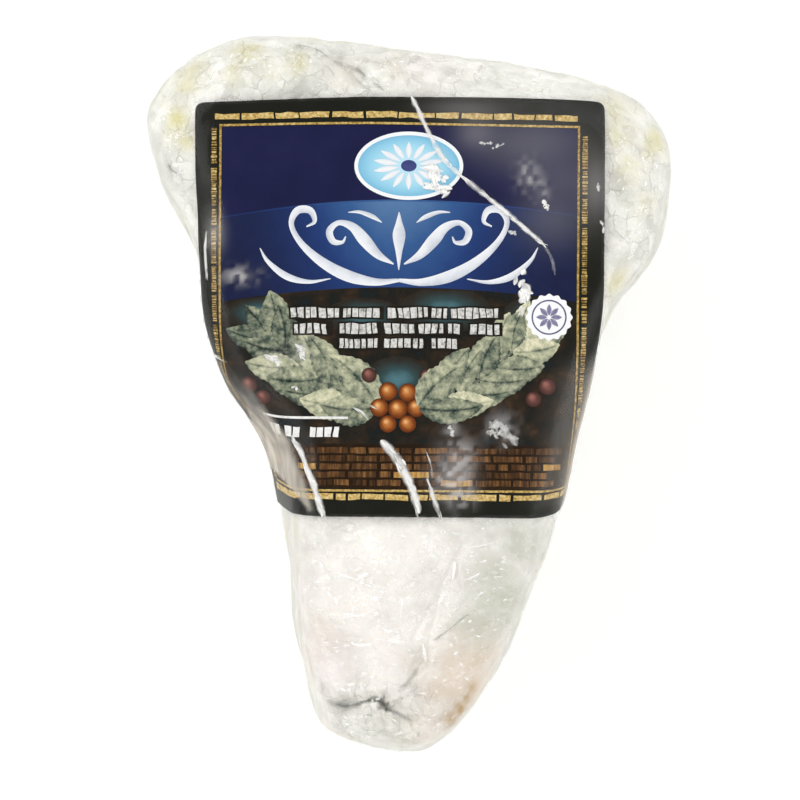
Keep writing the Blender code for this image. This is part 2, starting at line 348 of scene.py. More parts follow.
def groove_depth(x, y):
    """How far the crevices, folds and creases sink into the front."""
    grooves = (
        (TIP_CREVICE, TIP_CREVICE_SIZE),
        (TIP_FOLD, TIP_FOLD_SIZE),
        (LEG_CREASE, LEG_CREASE_SIZE),
        (RIND_CRACK, RIND_CRACK_SIZE),
        *((fold, LEG_FOLD_SIZE) for fold in LEG_FOLDS),
    )
    sunk = np.zeros(len(x))
    for line, (depth, half_width) in grooves:
        sunk += depth * np.exp(-((line_distance(x, y, line) / half_width) ** 2))
    return sunk


def rounded_corner(first, second, radius):
    """Both distances held inside at once, with a round edge where their surfaces would meet."""
    past_first = np.maximum(first + radius, 0.0)
    past_second = np.maximum(second + radius, 0.0)
    return np.minimum(np.maximum(first, second), -radius) + np.hypot(past_first, past_second)


def wedge_distance(points):
    """Distance from the film's outer surface, negative inside the wedge."""
    x, y, z = points.T
    side, inset = outline_distance(x, y)
    above = np.clip((z - WIDEST_HEIGHT) / (THICKNESS - WIDEST_HEIGHT), 0.0, 1.2)
    below = np.clip((WIDEST_HEIGHT - z) / WIDEST_HEIGHT, 0.0, 1.2)
    lumps = relief(points)
    side = side + inset * above**2 + BACK_LEAN * below**2 - SIDE_RELIEF_SHARE * lumps
    front = z - front_height(x, y) + groove_depth(x, y) - lumps
    shoulder = smooth_step(y, *SHOULDER_BLEND)
    front_radius = LEG_EDGE_RADIUS + (SHOULDER_EDGE_RADIUS - LEG_EDGE_RADIUS) * shoulder
    return rounded_corner(rounded_corner(side, front, front_radius), -z, BACK_EDGE_RADIUS)


def last_inside(place_at, near, far):
    """The largest value whose place is still inside the wedge, found by halving the range."""
    for _ in range(HALVINGS):
        half = 0.5 * (near + far)
        inside = wedge_distance(place_at(half)) < 0.0
        near = np.where(inside, half, near)
        far = np.where(inside, far, half)
    return near


def slope(points):
    """Gradient of the distance, from samples on both sides of each point."""
    sides = []
    for axis in np.eye(3) * PROBE:
        sides.append((wedge_distance(points + axis) - wedge_distance(points - axis)) / (2.0 * PROBE))
    return np.stack(sides, axis=1)


def settled(points, height):
    """Points moved square to the surface until they lie at one height above it."""
    for _ in range(2):
        normal = slope(points)
        error = wedge_distance(points) - height
        points = points - error[:, None] * normal / (normal**2).sum(axis=1, keepdims=True)
    return points


def crowded_turns():
    """Angles round the spine, closest together on the front, at a quarter turn."""
    turn = np.linspace(0.0, 2.0 * np.pi, 721)
    count = turn - FRONT_CROWDING * (np.cos(turn) - 1.0)
    return np.interp(np.arange(SEGMENTS) / SEGMENTS * 2.0 * np.pi, count, turn)


def wedge_grid():
    """Grid of rings round a spine, carried out to the wedge's surface, and its outward directions.

    Rings between the two caps start from the spine and run square to it, and the rings of each
    cap fan out from the spine's end. Each point is found on its ray by halving.
    """
    share, turn = np.meshgrid(np.linspace(0.0, 1.0, RINGS + 1)[1:-1], crowded_turns(), indexing="ij")
    share = np.concatenate(([0.0], share.ravel(), [1.0]))
    turn = np.concatenate(([0.0], turn.ravel(), [0.0]))
    middle = np.clip((share - TIP_CAP_SHARE) / (1.0 - TIP_CAP_SHARE - HEEL_CAP_SHARE), 0.0, 1.0)
    start = SPINE_TIP + middle[:, None] * (SPINE_HEEL - SPINE_TIP)
    tip_rise = 0.5 * np.pi * np.clip(1.0 - share / TIP_CAP_SHARE, 0.0, 1.0)
    heel_rise = 0.5 * np.pi * np.clip(1.0 - (1.0 - share) / HEEL_CAP_SHARE, 0.0, 1.0)
    half_width = np.interp(start[:, 1], *zip(*HALF_WIDTHS))
    outward = np.cos(tip_rise) * np.cos(heel_rise)
    direction = unit(
        np.stack(
            (
                outward * np.cos(turn) * half_width,
                HEEL_CAP_LENGTH * np.sin(heel_rise) - TIP_CAP_LENGTH * np.sin(tip_rise),
                outward * np.sin(turn) * HALF_HEIGHT,
            ),
            axis=1,
        )
    )
    near = np.zeros(len(share))
    far = np.full(len(share), FARTHEST_REACH)
    reach = last_inside(lambda half: start + half[:, None] * direction, near, far)
    points = start + reach[:, None] * direction
    return points, unit(slope(points))


def ring_faces(rings, segments):
    """Quads between neighbouring rings, and triangles that close both poles."""
    first = 1 + np.arange((rings - 1) * segments).reshape(rings - 1, segments)
    after = np.roll(first, -1, axis=1)
    quads = np.stack((first[:-1], first[1:], after[1:], after[:-1]), axis=-1).reshape(-1, 4)
    last = 1 + (rings - 1) * segments
    tip = np.stack((np.zeros(segments, int), first[0], after[0]), axis=-1)
    heel = np.stack((np.full(segments, last), after[-1], first[-1]), axis=-1)
    return quads.tolist() + tip.tolist() + heel.tolist()


def traced_sheet():
    """The label's sheet: rows that start on its middle column and run straight round the wedge."""
    turned = np.array((np.cos(LABEL_TURN), np.sin(LABEL_TURN), 0.0))
    up = np.array((-np.sin(LABEL_TURN), np.cos(LABEL_TURN), 0.0))
    half_height = 0.5 * LABEL_HEIGHT + TRACE_PAST
    half_width = 0.5 * LABEL_WIDTH + TRACE_PAST
    heights = np.arange(-half_height, half_height + TRACE_STEP, TRACE_STEP)
    column = settled(np.array((*LABEL_CENTRE, THICKNESS)) + heights[:, None] * up, LABEL_GAP)
    halves = []
    for way in (-1.0, 1.0):
        points = column
        heading = np.tile(way * turned, (len(column), 1))
        columns = []
        for _ in range(int(half_width / TRACE_STEP)):
            points = settled(points + heading * TRACE_STEP, LABEL_GAP)
            normal = unit(slope(points))
            heading = unit(heading - (heading * normal).sum(axis=1, keepdims=True) * normal)
            columns.append(points)
        halves.append(columns)
    sheet = np.stack(halves[0][::-1] + [column] + halves[1], axis=0)
    normals = unit(slope(sheet.reshape(-1, 3))).reshape(sheet.shape)
    return sheet, normals, len(halves[0]), half_height


SHEET, SHEET_NORMALS, SHEET_MIDDLE, SHEET_HALF_HEIGHT = traced_sheet()

# Creases pressed into the label and the film over it: points (u, v) from the label's middle.
LONG_CREASE = (
    (2.0, 36.3), (3.4, 33.5), (4.7, 30.7), (7.6, 25.6), (11.1, 22.3),
    (14.9, 19.3), (18.7, 16.3), (21.8, 13.6), (25.0, 11.0),
)
LONG_CREASE_TAIL = ((24.8, 11.2), (26.4, 8.4), (27.0, 5.6))
LEFT_CREASE = ((-18.4, -22.8), (-16.9, -24.9), (-15.5, -28.2), (-14.4, -30.9), (-12.7, -36.2))
MIDDLE_CREASE = ((-2.9, -23.0), (-0.4, -25.8), (1.1, -28.4), (2.3, -30.8), (3.9, -35.6))
SHORT_CREASE = ((5.4, -30.2), (6.3, -33.0), (7.4, -36.3))
CREASE_HEIGHT = 0.16
CREASE_HALF_WIDTH = 0.7
SHEET_WAVE_HEIGHT = 0.06
SHEET_WAVE_LENGTH = 17.0


def sheet_relief(u, v):
    """How the label itself ripples: slow waves, and low ridges along its creases."""
    height = SHEET_WAVE_HEIGHT * waves(flat_points(u, v), SHEET_WAVE_LENGTH, seed=5).reshape(u.shape)
    for crease in (LONG_CREASE, LEFT_CREASE, MIDDLE_CREASE, SHORT_CREASE):
        distance = line_distance(u, v, crease)
        height += CREASE_HEIGHT * np.exp(-((distance / CREASE_HALF_WIDTH) ** 2))
    return height


def label_point(u, v, lift):
    """Places on the bent label: u to the right and v up from its middle, and a lift off it."""
    v = v - FULL_SAG * smooth_step(-u, *SAG_SPAN_U) * smooth_step(v, *SAG_SPAN_V)
    across = u / TRACE_STEP + SHEET_MIDDLE
    along = (v + SHEET_HALF_HEIGHT) / TRACE_STEP
    outward = blended(SHEET_NORMALS, across, along)
    return blended(SHEET, across, along) + outward * (sheet_relief(u, v) + lift)[..., None]


def front_point(x, y, lift):
    """Places over the wedge's front, found from inside up, and a lift off it."""
    low, high = (np.full(x.size, height) for height in FRONT_SOUGHT)
    rise = last_inside(lambda z: np.stack((x.ravel(), y.ravel(), z), axis=1), low, high)
    points = np.stack((x.ravel(), y.ravel(), rise), axis=1)
    points += unit(slope(points)) * lift.reshape(-1, 1)
    return points.reshape(*x.shape, 3)


# ================================ mesh and material helpers =====================================
def put_in_scene(name, data):
    """A new object of the scene that holds a mesh, a camera or a light."""
    item = bpy.data.objects.new(name, data)
    bpy.context.scene.collection.objects.link(item)
    return item


def make_piece(name, points, faces, material, values=None):
    """A smooth mesh object that rides on the body. values holds named numbers for each point."""
    mesh = bpy.data.meshes.new(name)
    mesh.from_pydata((np.asarray(points, dtype=float) * MM).tolist(), [], faces)
    for label, numbers in (values or {}).items():
        attribute = mesh.attributes.new(label, "FLOAT", "POINT")
        attribute.data.foreach_set("value", np.asarray(numbers, dtype=np.float32))
    mesh.shade_smooth()
    mesh.materials.append(material)
    piece = put_in_scene(name, mesh)
    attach(piece, "root")
    return piece


def grid_faces(rows, columns):
    """Quads of an open grid, counter-clockwise where its rows and columns run along u and v."""
    corner = np.arange(rows * columns).reshape(rows, columns)[:-1, :-1].ravel()
    return np.stack((corner, corner + columns, corner + columns + 1, corner + 1), axis=1)


def linear(hex_colour):
    """An sRGB hex colour as the linear values that shaders take."""
    channels = np.array([int(hex_colour[place : place + 2], 16) for place in (1, 3, 5)]) / 255.0
    straight = np.where(channels <= 0.04045, channels / 12.92, ((channels + 0.055) / 1.055) ** 2.4)
    return (*straight.tolist(), 1.0)


def add(tree, kind, *inputs, out=0, stops=(), **named):
    """Adds a node and gives back one of its outputs, the first unless told which.

    Inputs fill the node's open sockets in order, and a name with a capital is the socket of that
    name. Each is a value, a hex colour, or the output of another node. A name in small letters
    is a setting of the node's own. Stops are the places and hex colours of a colour ramp. An
    output node has no outputs to give back.
    """
    node = tree.nodes.new("ShaderNode" + kind)
    for name, value in named.items():
        if name[0].islower():
            setattr(node, name, value)
    filled = list(zip((socket for socket in node.inputs if socket.enabled), inputs))
    for name, value in named.items():
        if name[0].isupper():
            filled.append((node.inputs[name.replace("_", " ")], value))
    for socket, value in filled:
        if isinstance(value, bpy.types.NodeSocket):
            tree.links.new(value, socket)
        elif value is not None:
            socket.default_value = linear(value) if isinstance(value, str) else value
    if stops:
        elements = node.color_ramp.elements
        while len(elements) < len(stops):
            elements.new(0.5)
        for element, (place, colour) in zip(elements, stops):
            element.position = place
            element.color = linear(colour)
    return node.outputs and [socket for socket in node.outputs if socket.enabled][out]


def new_material(name):
    """A material without nodes, and its empty tree."""
    material = bpy.data.materials.new(name)
    material.use_nodes = True
    material.node_tree.nodes.clear()
    return material, material.node_tree


# ================================ cheese =======================================================
CRUMB_SIZE = 3.6
CRUMB_TILT = 0.18
CRUMB_STEP = 0.26
CRUMB_GAP_DEPTH = 0.10
CRUMB_GAP_WIDTH = 0.20
CRUMB_GAP_SHADE_WIDTH = 0.35  # the painted shade of the gap reaches a little wider than the gap
GRAIN_SIZE = 1.5
GRAIN_TILT = 0.14
GRAIN_STEP = 0.10
WARP_SIZE = 4.0  # spacing of the random shifts that bend crumbs and stains out of true
CRUMB_WARP = 2.4
GRAIN_WARP = 1.0
STAIN_WARP = 3.0
SIDE_SHADE = 1.3  # how much darker in tone the upright sides are
SMEAR_STARTS = (14.0, 22.0)  # so far below the middle the paste is smeared smooth
SMEAR_ENDS = (48.5, 52.5)  # so far below it is crumbly again, left of these x
SMEAR_ENDS_LEFT_OF = (3.0, 8.0)
SMEARED_FLATTER = 0.55
TIP_ROUGHER = 0.6
BLUSH = 0.35  # an even pink tinge that starts so far below the middle
BLUSH_STARTS = (16.0, 30.0)
RIM_HEIGHTS = (26.0, 38.0)  # stains of the front run over its edge down to between these heights
# How strongly the film presses the crumbs flat, and how far it lifts the paste up to itself.
PRESSED_BY_LABEL = 0.7
PRESSED_BY_SIDE = 0.85
RISE_BY_LABEL = 0.30
RISE_BY_SIDE = 0.22
LEAST_DEPTH = FILM_DEPTH + 0.12
MOULD_PIT = 0.3
# Patches on the cut sides and the back: size, which cloud, strength, and the values of the
# cloud where a patch starts and where it is full.
SIDE_PATCHES = {
    "yellow": (6.0, 0, 0.36, 0.98, 1.24),
    "green": (5.0, 1, 0.42, 1.0, 1.24),
    "mould": (4.0, 3, 0.34, 1.12, 1.34),
}

# Stains, as seen from the front: x, y, radius and strength.
YELLOW_STAINS = (
    (-39.0, 53.9, 2.8, 0.8),
    (-40.2, 46.6, 2.6, 1.0),
    (-38.6, 43.4, 1.8, 0.8),
    (-38.4, 56.0, 3.0, 0.7),
    (-27.9, 59.0, 3.0, 0.70),
    (-30.0, 55.2, 2.4, 0.60),
    (-18.9, 57.8, 2.4, 0.80),
    (-24.0, 56.0, 1.6, 0.35),
    (-43.0, 50.0, 1.8, 0.4),
    (43.5, 43.6, 2.8, 1.0),
    (37.2, 49.2, 3.4, 0.65),
    (36.0, 45.0, 2.6, 0.65),
    (39.2, 39.4, 2.2, 0.50),
    (41.2, 33.0, 3.0, 0.35),
    (37.2, 18.8, 2.4, 0.75),
)
PINK_STAINS = (
    (-4.4, -46.5, 5.5, 0.8),
    (-14.0, -46.0, 7.0, 1.0),
    (-21.0, -34.0, 6.0, 0.8),
    (4.2, 57.7, 4.5, 0.4),
    (-19.4, -28.0, 5.0, 0.5),
    (5.0, -59.0, 4.5, 0.6),
)
PEACH_STAINS = (
    (8.4, -49.8, 6.0, 0.95),
    (11.8, -51.2, 4.5, 1.0),
    (12.2, -46.2, 5.0, 1.0),
    (13.6, -50.0, 3.5, 0.8),
    (5.6, -45.4, 3.4, 0.40),
    (4.6, -58.4, 4.0, 0.50),
    (-2.6, 57.6, 3.0, 0.40),
    (-11.5, 55.8, 2.4, 0.35),
    (-15.6, -42.0, 5.0, 0.30),
)
ORANGE_STAINS = (
    (11.6, -52.0, 1.2, 0.7),
    (10.7, -53.6, 1.3, 0.9),
    (9.6, -55.4, 1.4, 1.0),
    (8.0, -57.4, 1.6, 0.9),
)
# Paler patches; on the leg's left middle they also paint the light that falls brightest there.
PALE_STAINS_AND_LIGHT = (
    (-6.0, -27.5, 7.0, 1.0),
    (-1.5, -39.5, 4.5, 0.8),
    (40.5, 42.0, 5.5, 0.6),
    (-9.0, -35.5, 6.5, 1.0),
    (1.0, -25.0, 6.5, 0.7),
    (-1.0, -33.0, 6.0, 0.7),
    (-5.0, -43.0, 5.0, 0.9),
    (-4.8, -50.0, 4.0, 0.9),
    (-22.0, 59.0, 3.0, 0.5),
    (-34.0, 55.0, 3.0, 0.5),
    (10.0, 56.0, 8.0, 0.6),
    (24.0, 55.0, 8.0, 0.6),
    (38.0, 28.0, 4.0, 0.4),
    (36.6, 22.0, 4.0, 0.5),
)
# Grey-green stains; along the leg's right side and rim they also paint its shade.
GREEN_STAINS_AND_SHADE = (
    (15.6, -31.5, 4.6, 0.72),
    (16.4, -36.5, 6.0, 0.75),
    (12.6, -40.6, 4.4, 0.65),
    (21.0, -26.0, 5.0, 0.60),
    (-22.0, -30.0, 4.0, 0.35),
    (-1.0, -60.5, 5.0, 0.45),
    (37.9, 33.4, 1.3, 0.7),
    (38.2, 22.9, 1.3, 0.6),
    (-6.0, -58.0, 6.0, 0.4),
)
MOULD_SPOTS = (
    (-41.9, 39.0, 0.6, 0.5),
    (-39.8, 38.1, 0.6, 0.5),
    (-39.4, 34.8, 0.7, 0.25),
    (-18.6, 60.8, 1.5, 0.25),
    (-10.6, -54.4, 1.8, 0.20),
    (-4.2, -53.9, 0.8, 0.16),
)
MOULD_AND_SHADE_LIFT = -0.345  # the mould and crease-shade lines lie between the paste and the film
# Grey lines on the paste, mould and painted crease shade: a line, its half width, and strength.
MOULD_AND_CREASE_SHADE_LINES = (
    # the first, wide and faint, is painted shade round the crevice
    (((-14.4, -53.5), (-12.5, -54.0), (-10.9, -54.4), (-9.3, -54.3), (-8.0, -53.8)), 0.90, 0.28),
    (((-12.4, -54.0), (-10.9, -54.4), (-9.4, -54.3), (-7.8, -53.7), (-6.2, -53.3)), 0.24, 0.50),
    (((-7.0, -53.4), (-5.8, -53.2), (-4.7, -53.6), (-3.8, -54.4), (-2.7, -55.1)), 0.60, 1.0),
    (((-6.4, -53.3), (-5.2, -53.4), (-4.2, -54.0), (-3.3, -54.8)), 0.30, 0.80),
    (((-3.2, -54.8), (-1.2, -55.9), (0.7, -57.1)), 0.26, 0.52),
    (((-8.2, -55.9), (-7.2, -55.8), (-6.4, -55.9)), 0.30, 0.30),
    # these lie along the tip's fold and the leg's crease: painted shade
    (((1.8, -47.6), (0.6, -49.3), (-0.2, -50.2)), 0.42, 0.26),
    (((0.2, -50.0), (-0.9, -51.0), (-1.7, -52.0)), 0.50, 0.28),
    (((4.2, -42.8), (5.0, -42.4), (5.8, -41.8)), 0.44, 0.38),
    (((4.9, -42.4), (6.4, -41.4), (7.8, -40.4)), 0.26, 0.34),
    (((7.6, -40.6), (9.4, -39.0), (10.8, -38.1)), 0.26, 0.28),
    (((-13.2, 58.0), (-12.0, 57.5), (-10.4, 56.9), (-8.6, 56.0), (-7.2, 54.9)), 0.46, 0.30),
    (((-10.2, 57.0), (-8.8, 56.3), (-7.4, 55.0)), 0.32, 0.34),
    (((-20.8, 60.7), (-17.4, 60.4), (-15.6, 59.7), (-13.4, 58.2)), 0.26, 0.36),
    (((-6.2, 54.0), (-5.0, 53.2), (-4.0, 52.2)), 0.34, 0.36),
    (((-9.4, 55.2), (-8.0, 53.6), (-6.6, 52.4)), 0.26, 0.26),
    (((-14.4, 57.0), (-13.2, 55.8), (-12.6, 54.6)), 0.26, 0.26),
    (((-41.9, 39.6), (-41.2, 38.6), (-40.2, 38.0)), 0.30, 0.45),
)


def stain(x, y, spots):
    """How strongly round soft-edged spots cover each place."""
    cover = np.zeros(len(x))
    for spot_x, spot_y, radius, strength in spots:
        distance = np.hypot(x - spot_x, y - spot_y)
        cover = np.maximum(cover, strength * np.exp(-((distance / radius) ** 2)))
    return cover


def make_cheese(points, normals):
    """Crumbly cheese under the film.

    Each point sinks below the film by a mean depth, less the height of its crumb. A crumb is a
    tilted flat piece of a broken-cell pattern with a gap round it, and carries smaller grains.
    """
    warp = np.stack([cloud(points, WARP_SIZE, channel) for channel in range(3)], axis=1) - 0.5
    crumb, crumb_way, crumb_edge = crumbs(points + CRUMB_WARP * warp, CRUMB_SIZE)
    grain, grain_way, _ = crumbs(points + GRAIN_WARP * warp, GRAIN_SIZE)
    height = CRUMB_STEP * (crumb[:, 3] - 0.5) + CRUMB_TILT * ((crumb[:, :3] - 0.5) * crumb_way).sum(axis=1)
    height -= CRUMB_GAP_DEPTH * np.exp(-crumb_edge / CRUMB_GAP_WIDTH)
    height += GRAIN_STEP * (grain[:, 3] - 0.5) + GRAIN_TILT * ((grain[:, :3] - 0.5) * grain_way).sum(axis=1)
    x, y, z = points.T
    facing = smooth_step(normals[:, 2], 0.1, 0.5)
    elsewhere = 1.0 - facing
    upright = 1.0 - smooth_step(np.abs(normals[:, 2]), 0.1, 0.7)
    held = under_label(x, y, z)
    crumbly_tip = smooth_step(-y, *SMEAR_ENDS) * (1.0 - smooth_step(x, *SMEAR_ENDS_LEFT_OF))
    smeared = smooth_step(-y, *SMEAR_STARTS) * (1.0 - crumbly_tip)
    height *= 1.0 - SMEARED_FLATTER * smeared + TIP_ROUGHER * crumbly_tip
    pressed = 1.0 - (1.0 - PRESSED_BY_LABEL * held) * (1.0 - PRESSED_BY_SIDE * upright)
    mould = stain(x + warp[:, 0], y + warp[:, 1], MOULD_SPOTS) * facing
    depth = CHEESE_DEPTH - RISE_BY_SIDE * upright - RISE_BY_LABEL * held - height * (1.0 - pressed)
    depth = np.maximum(depth, LEAST_DEPTH) + MOULD_PIT * mould
    surface = points - normals * depth[:, None]
    front_rim = smooth_step(z + STAIN_WARP * warp[:, 2], *RIM_HEIGHTS)
    over_edge = np.maximum(facing, front_rim)
    stain_x = x + STAIN_WARP * warp[:, 0]
    stain_y = y + STAIN_WARP * warp[:, 1]
    blush = BLUSH * smooth_step(-y, *BLUSH_STARTS)
    values = {
        # tone: random tone of crumbs and grains, less painted shade on the upright sides
        "tone": 0.6 * crumb[:, 3] + 0.4 * grain[:, 3] - SIDE_SHADE * upright,
        # gap: painted shade between the crumbs, weaker on the upright sides
        "gap": np.exp(-crumb_edge / CRUMB_GAP_SHADE_WIDTH) * (1.0 - 0.7 * upright),
        "smeared": np.maximum(smeared * facing, 0.6 * upright),
        "pale": stain(stain_x, stain_y, PALE_STAINS_AND_LIGHT) * facing,
        "yellow": stain(stain_x, stain_y, YELLOW_STAINS) * facing,
        "pink": np.maximum(stain(stain_x, stain_y, PINK_STAINS), blush) * over_edge,
        "peach": stain(stain_x, stain_y, PEACH_STAINS) * over_edge,
        "orange": stain(x + warp[:, 0], y + warp[:, 1], ORANGE_STAINS) * front_rim,
        "green": stain(stain_x, stain_y, GREEN_STAINS_AND_SHADE) * over_edge,
        "mould": mould,
    }
    broken_up = 0.55 * cloud(points, 2.2, 2) + 0.25 * cloud(points, 0.9, 3)
    for name, (size, channel, strength, start, full) in SIDE_PATCHES.items():
        patches = smooth_step(cloud(points, size, channel) + broken_up, start, full)
        values[name] = np.maximum(values[name], strength * elsewhere * patches)
    faces = ring_faces(RINGS, SEGMENTS)
    piece = make_piece("cheese", surface, faces, pressed_curd(), values)
    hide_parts("wrapped_cheese")


FLAKE_SIZE = 2.6
CHIP_SIZE = 1.2
PATCH_SIZE = 5.0  # spacing of the soft patches of light and dark
CRACK_PATCH_SIZE = 3.0  # the hairline cracks show here and there, in patches of this spacing
# How much each pattern moves the paste's tone.
FLAKE_SHARE = 0.28
CHIP_SHARE = 0.09
CRUMB_SHARE = 0.18
TONE_LOWERED = 0.07
PASTE_STOPS = ((0.22, "#C8C7BE"), (0.40, "#D9D8CF"), (0.58, "#E6E5DD"), (0.78, "#F4F3ED"))
# Painted shade in the gaps between crumbs and in the hairline cracks.
GAP_SHADE_COLOUR = "#B9B7AB"
GAP_SHADE_STRENGTH = 0.10
BEND_SIZE = 2.5  # spacing and reach of the shifts that bend the flakes' edges
BEND_REACH = 2.2
# How each stain colours the paste: strength, colour, and whether it lies broken up or even.
STAIN_TINTS = (
    ("pale", 0.80, "#FBF8F0", "broken"),
    ("yellow", 0.90, "#D3CC92", "broken"),
    ("pink", 0.55, "#EEDFE0", "even"),
    ("peach", 0.80, "#D6C0A6", "even"),
    ("orange", 1.00, "#A27C2E", "broken"),
    ("green", 0.90, "#B4B7A2", "even"),
    ("mould", 1.00, "#6F746B", "broken"),
)


def pressed_curd():
    """Blue cheese paste, pressed curd: moist, off-white, broken into flakes of uneven tone with
    hairline cracks, and stained yellow, pink, peach, orange and grey-green. Painted shade darkens
    the gaps between crumbs, the hairline cracks and the upright sides. The pale stains also paint
    light on the leg's left middle, and the grey-green ones paint shade down its right side. Where
    it is smeared the flakes run together. Light sinks in a little.
    """
    material, tree = new_material("pressed_curd")
    place = add(tree, "TexCoord", out=3)
    bend = add(tree, "TexNoise", Vector=place, Scale=1.0 / (BEND_SIZE * MM), Detail=3.0, out=1)
    bent = add(tree, "VectorMath", bend, (BEND_REACH * MM,) * 3, place, operation="MULTIPLY_ADD")
    smeared = add(tree, "Attribute", attribute_name="smeared", out=2)
    broken = add(tree, "MapRange", smeared, 0.0, 1.0, 1.0, 0.25)
    pieces = []
    for size in (FLAKE_SIZE, CHIP_SIZE):
        piece = add(tree, "TexVoronoi", Vector=bent, Scale=1.0 / (size * MM), out=1)
        piece = add(tree, "SeparateXYZ", piece)
        piece = add(tree, "Math", piece, 0.5, operation="SUBTRACT")
        pieces.append(add(tree, "Math", piece, broken, operation="MULTIPLY"))
    flake, chip = pieces
    # Hairline cracks: sunk in the bump, and darkened by painted shade through the gap colour.
    crack = add(tree, "TexVoronoi", Vector=bent, Scale=1.0 / (FLAKE_SIZE * MM), feature="DISTANCE_TO_EDGE")
    crack = add(tree, "MapRange", crack, 0.0, 0.06, 1.0, 0.0)
    shown = add(tree, "TexNoise", Vector=place, Scale=1.0 / (CRACK_PATCH_SIZE * MM), Detail=2.0)
    shown = add(tree, "MapRange", shown, 0.45, 0.60, 0.0, 1.0)
    crack = add(tree, "Math", crack, shown, operation="MULTIPLY")
    crack = add(tree, "Math", crack, broken, operation="MULTIPLY")
    patch = add(tree, "TexNoise", Vector=place, Scale=1.0 / (PATCH_SIZE * MM), Detail=4.0, Roughness=0.5)
    tone = add(tree, "Attribute", attribute_name="tone", out=2)
    tone = add(tree, "Math", tone, CRUMB_SHARE, patch, operation="MULTIPLY_ADD")
    tone = add(tree, "Math", flake, FLAKE_SHARE, tone, operation="MULTIPLY_ADD")
    tone = add(tree, "Math", chip, CHIP_SHARE, tone, operation="MULTIPLY_ADD")
    tone = add(tree, "Math", tone, TONE_LOWERED, operation="SUBTRACT")
    colour = add(tree, "ValToRGB", tone, stops=PASTE_STOPS)
    gap = add(tree, "Attribute", attribute_name="gap", out=2)
    gap = add(tree, "Math", crack, gap, operation="MAXIMUM")
    gap = add(tree, "Math", gap, GAP_SHADE_STRENGTH, operation="MULTIPLY")
    colour = add(tree, "Mix", gap, colour, GAP_SHADE_COLOUR, data_type="RGBA")
    grain = add(tree, "TexNoise", Vector=place, Scale=1.0 / (FLAKE_SIZE * MM), Detail=4.0, Roughness=0.55)
    spreads = {
        "even": add(tree, "Math", grain, 0.8, 0.5, operation="MULTIPLY_ADD"),
        "broken": add(tree, "Math", grain, 1.6, 0.12, operation="MULTIPLY_ADD"),
    }
    for name, strength, tint, spread in STAIN_TINTS:
        share = add(tree, "Attribute", attribute_name=name, out=2)
        share = add(tree, "Math", share, strength, operation="MULTIPLY")
        share = add(tree, "Math", share, spreads[spread], operation="MULTIPLY", use_clamp=True)
        colour = add(tree, "Mix", share, colour, tint, data_type="RGBA")
    relief = add(tree, "Math", flake, crack, operation="SUBTRACT")
    relief = add(tree, "Math", chip, 0.4, relief, operation="MULTIPLY_ADD")
    relief = add(tree, "Math", patch, 1.6, relief, operation="MULTIPLY_ADD")
    bump = add(tree, "Bump", Strength=0.6, Distance=0.25 * MM, Height=relief)
    shader = add(
        tree,
        "BsdfPrincipled",
        Base_Color=colour,
        Roughness=0.5,
        IOR=1.45,
        Subsurface_Weight=0.12,
        Subsurface_Radius=(1.0, 0.75, 0.5),
        Subsurface_Scale=0.8 * MM,
        Normal=bump,
    )
    add(tree, "OutputMaterial", shader)
    return material


STRIP_ROWS = 9
WIDTH_CHANGE_SIZE = 1.1  # a strip's width changes over about this length
STRAND_SIZE = 0.36  # width of the strands that a strip's cover breaks up into
STRAND_STRETCH = 5.0  # how much longer than wide they are
END_LENGTH = 1.4  # a strip comes to its full width within this length of its ends


def raised_strips(lines, place, lift, ridge, soft=False):
    """Strips along lines (points, half width, strength), as points, faces and each point's cover.

    A strip narrows at both ends and its back stands up by the ridge. Its cover is the strength,
    highest along the middle, and breaks up into strands by a cloud drawn out along the line. A
    soft strip thins out evenly towards its sides.
    """
    points = []
    faces = []
    cover = []
    count = 0
    for line, half_width, strength in lines:
        line = np.asarray(line)
        walked = np.cumsum(np.hypot(*np.gradient(line, axis=0).T))
        from_end = np.minimum(walked - walked[0], walked[-1] - walked)
        taper = np.sqrt(np.clip(from_end / min(END_LENGTH, 0.4 * walked[-1]) + 0.02, 0.0, 1.0))
        uneven = 0.7 + 0.6 * cloud(flat_points(*line.T), WIDTH_CHANGE_SIZE, 3)
        x, y, across = strip(line, half_width * taper * uneven, rows=STRIP_ROWS)
        points.append(place(x, y, lift + ridge * (1.0 - across**2) * taper[:, None]).reshape(-1, 3))
        faces.append(grid_faces(*x.shape) + count)
        run = walked[:, None] / STRAND_STRETCH + line[0, 0]
        drawn = np.stack(np.broadcast_arrays(run, across * half_width, line[0, 1]), axis=-1)
        strands = cloud(drawn.reshape(-1, 3), STRAND_SIZE, 0) + 0.5 * cloud(flat_points(x, y), 0.9, 1)
        strands = smooth_step(strands, 0.42, 0.85)
        if soft:
            profile = (1.0 - across**2) ** 2
        else:
            profile = 0.25 * (1.0 - np.abs(across)) + 0.75 * np.exp(-((across / 0.75) ** 4))
        cover.append(strength * profile.ravel() * (0.5 + 0.5 * strands))
        count += x.size
    return np.concatenate(points), np.concatenate(faces).tolist(), np.concatenate(cover)


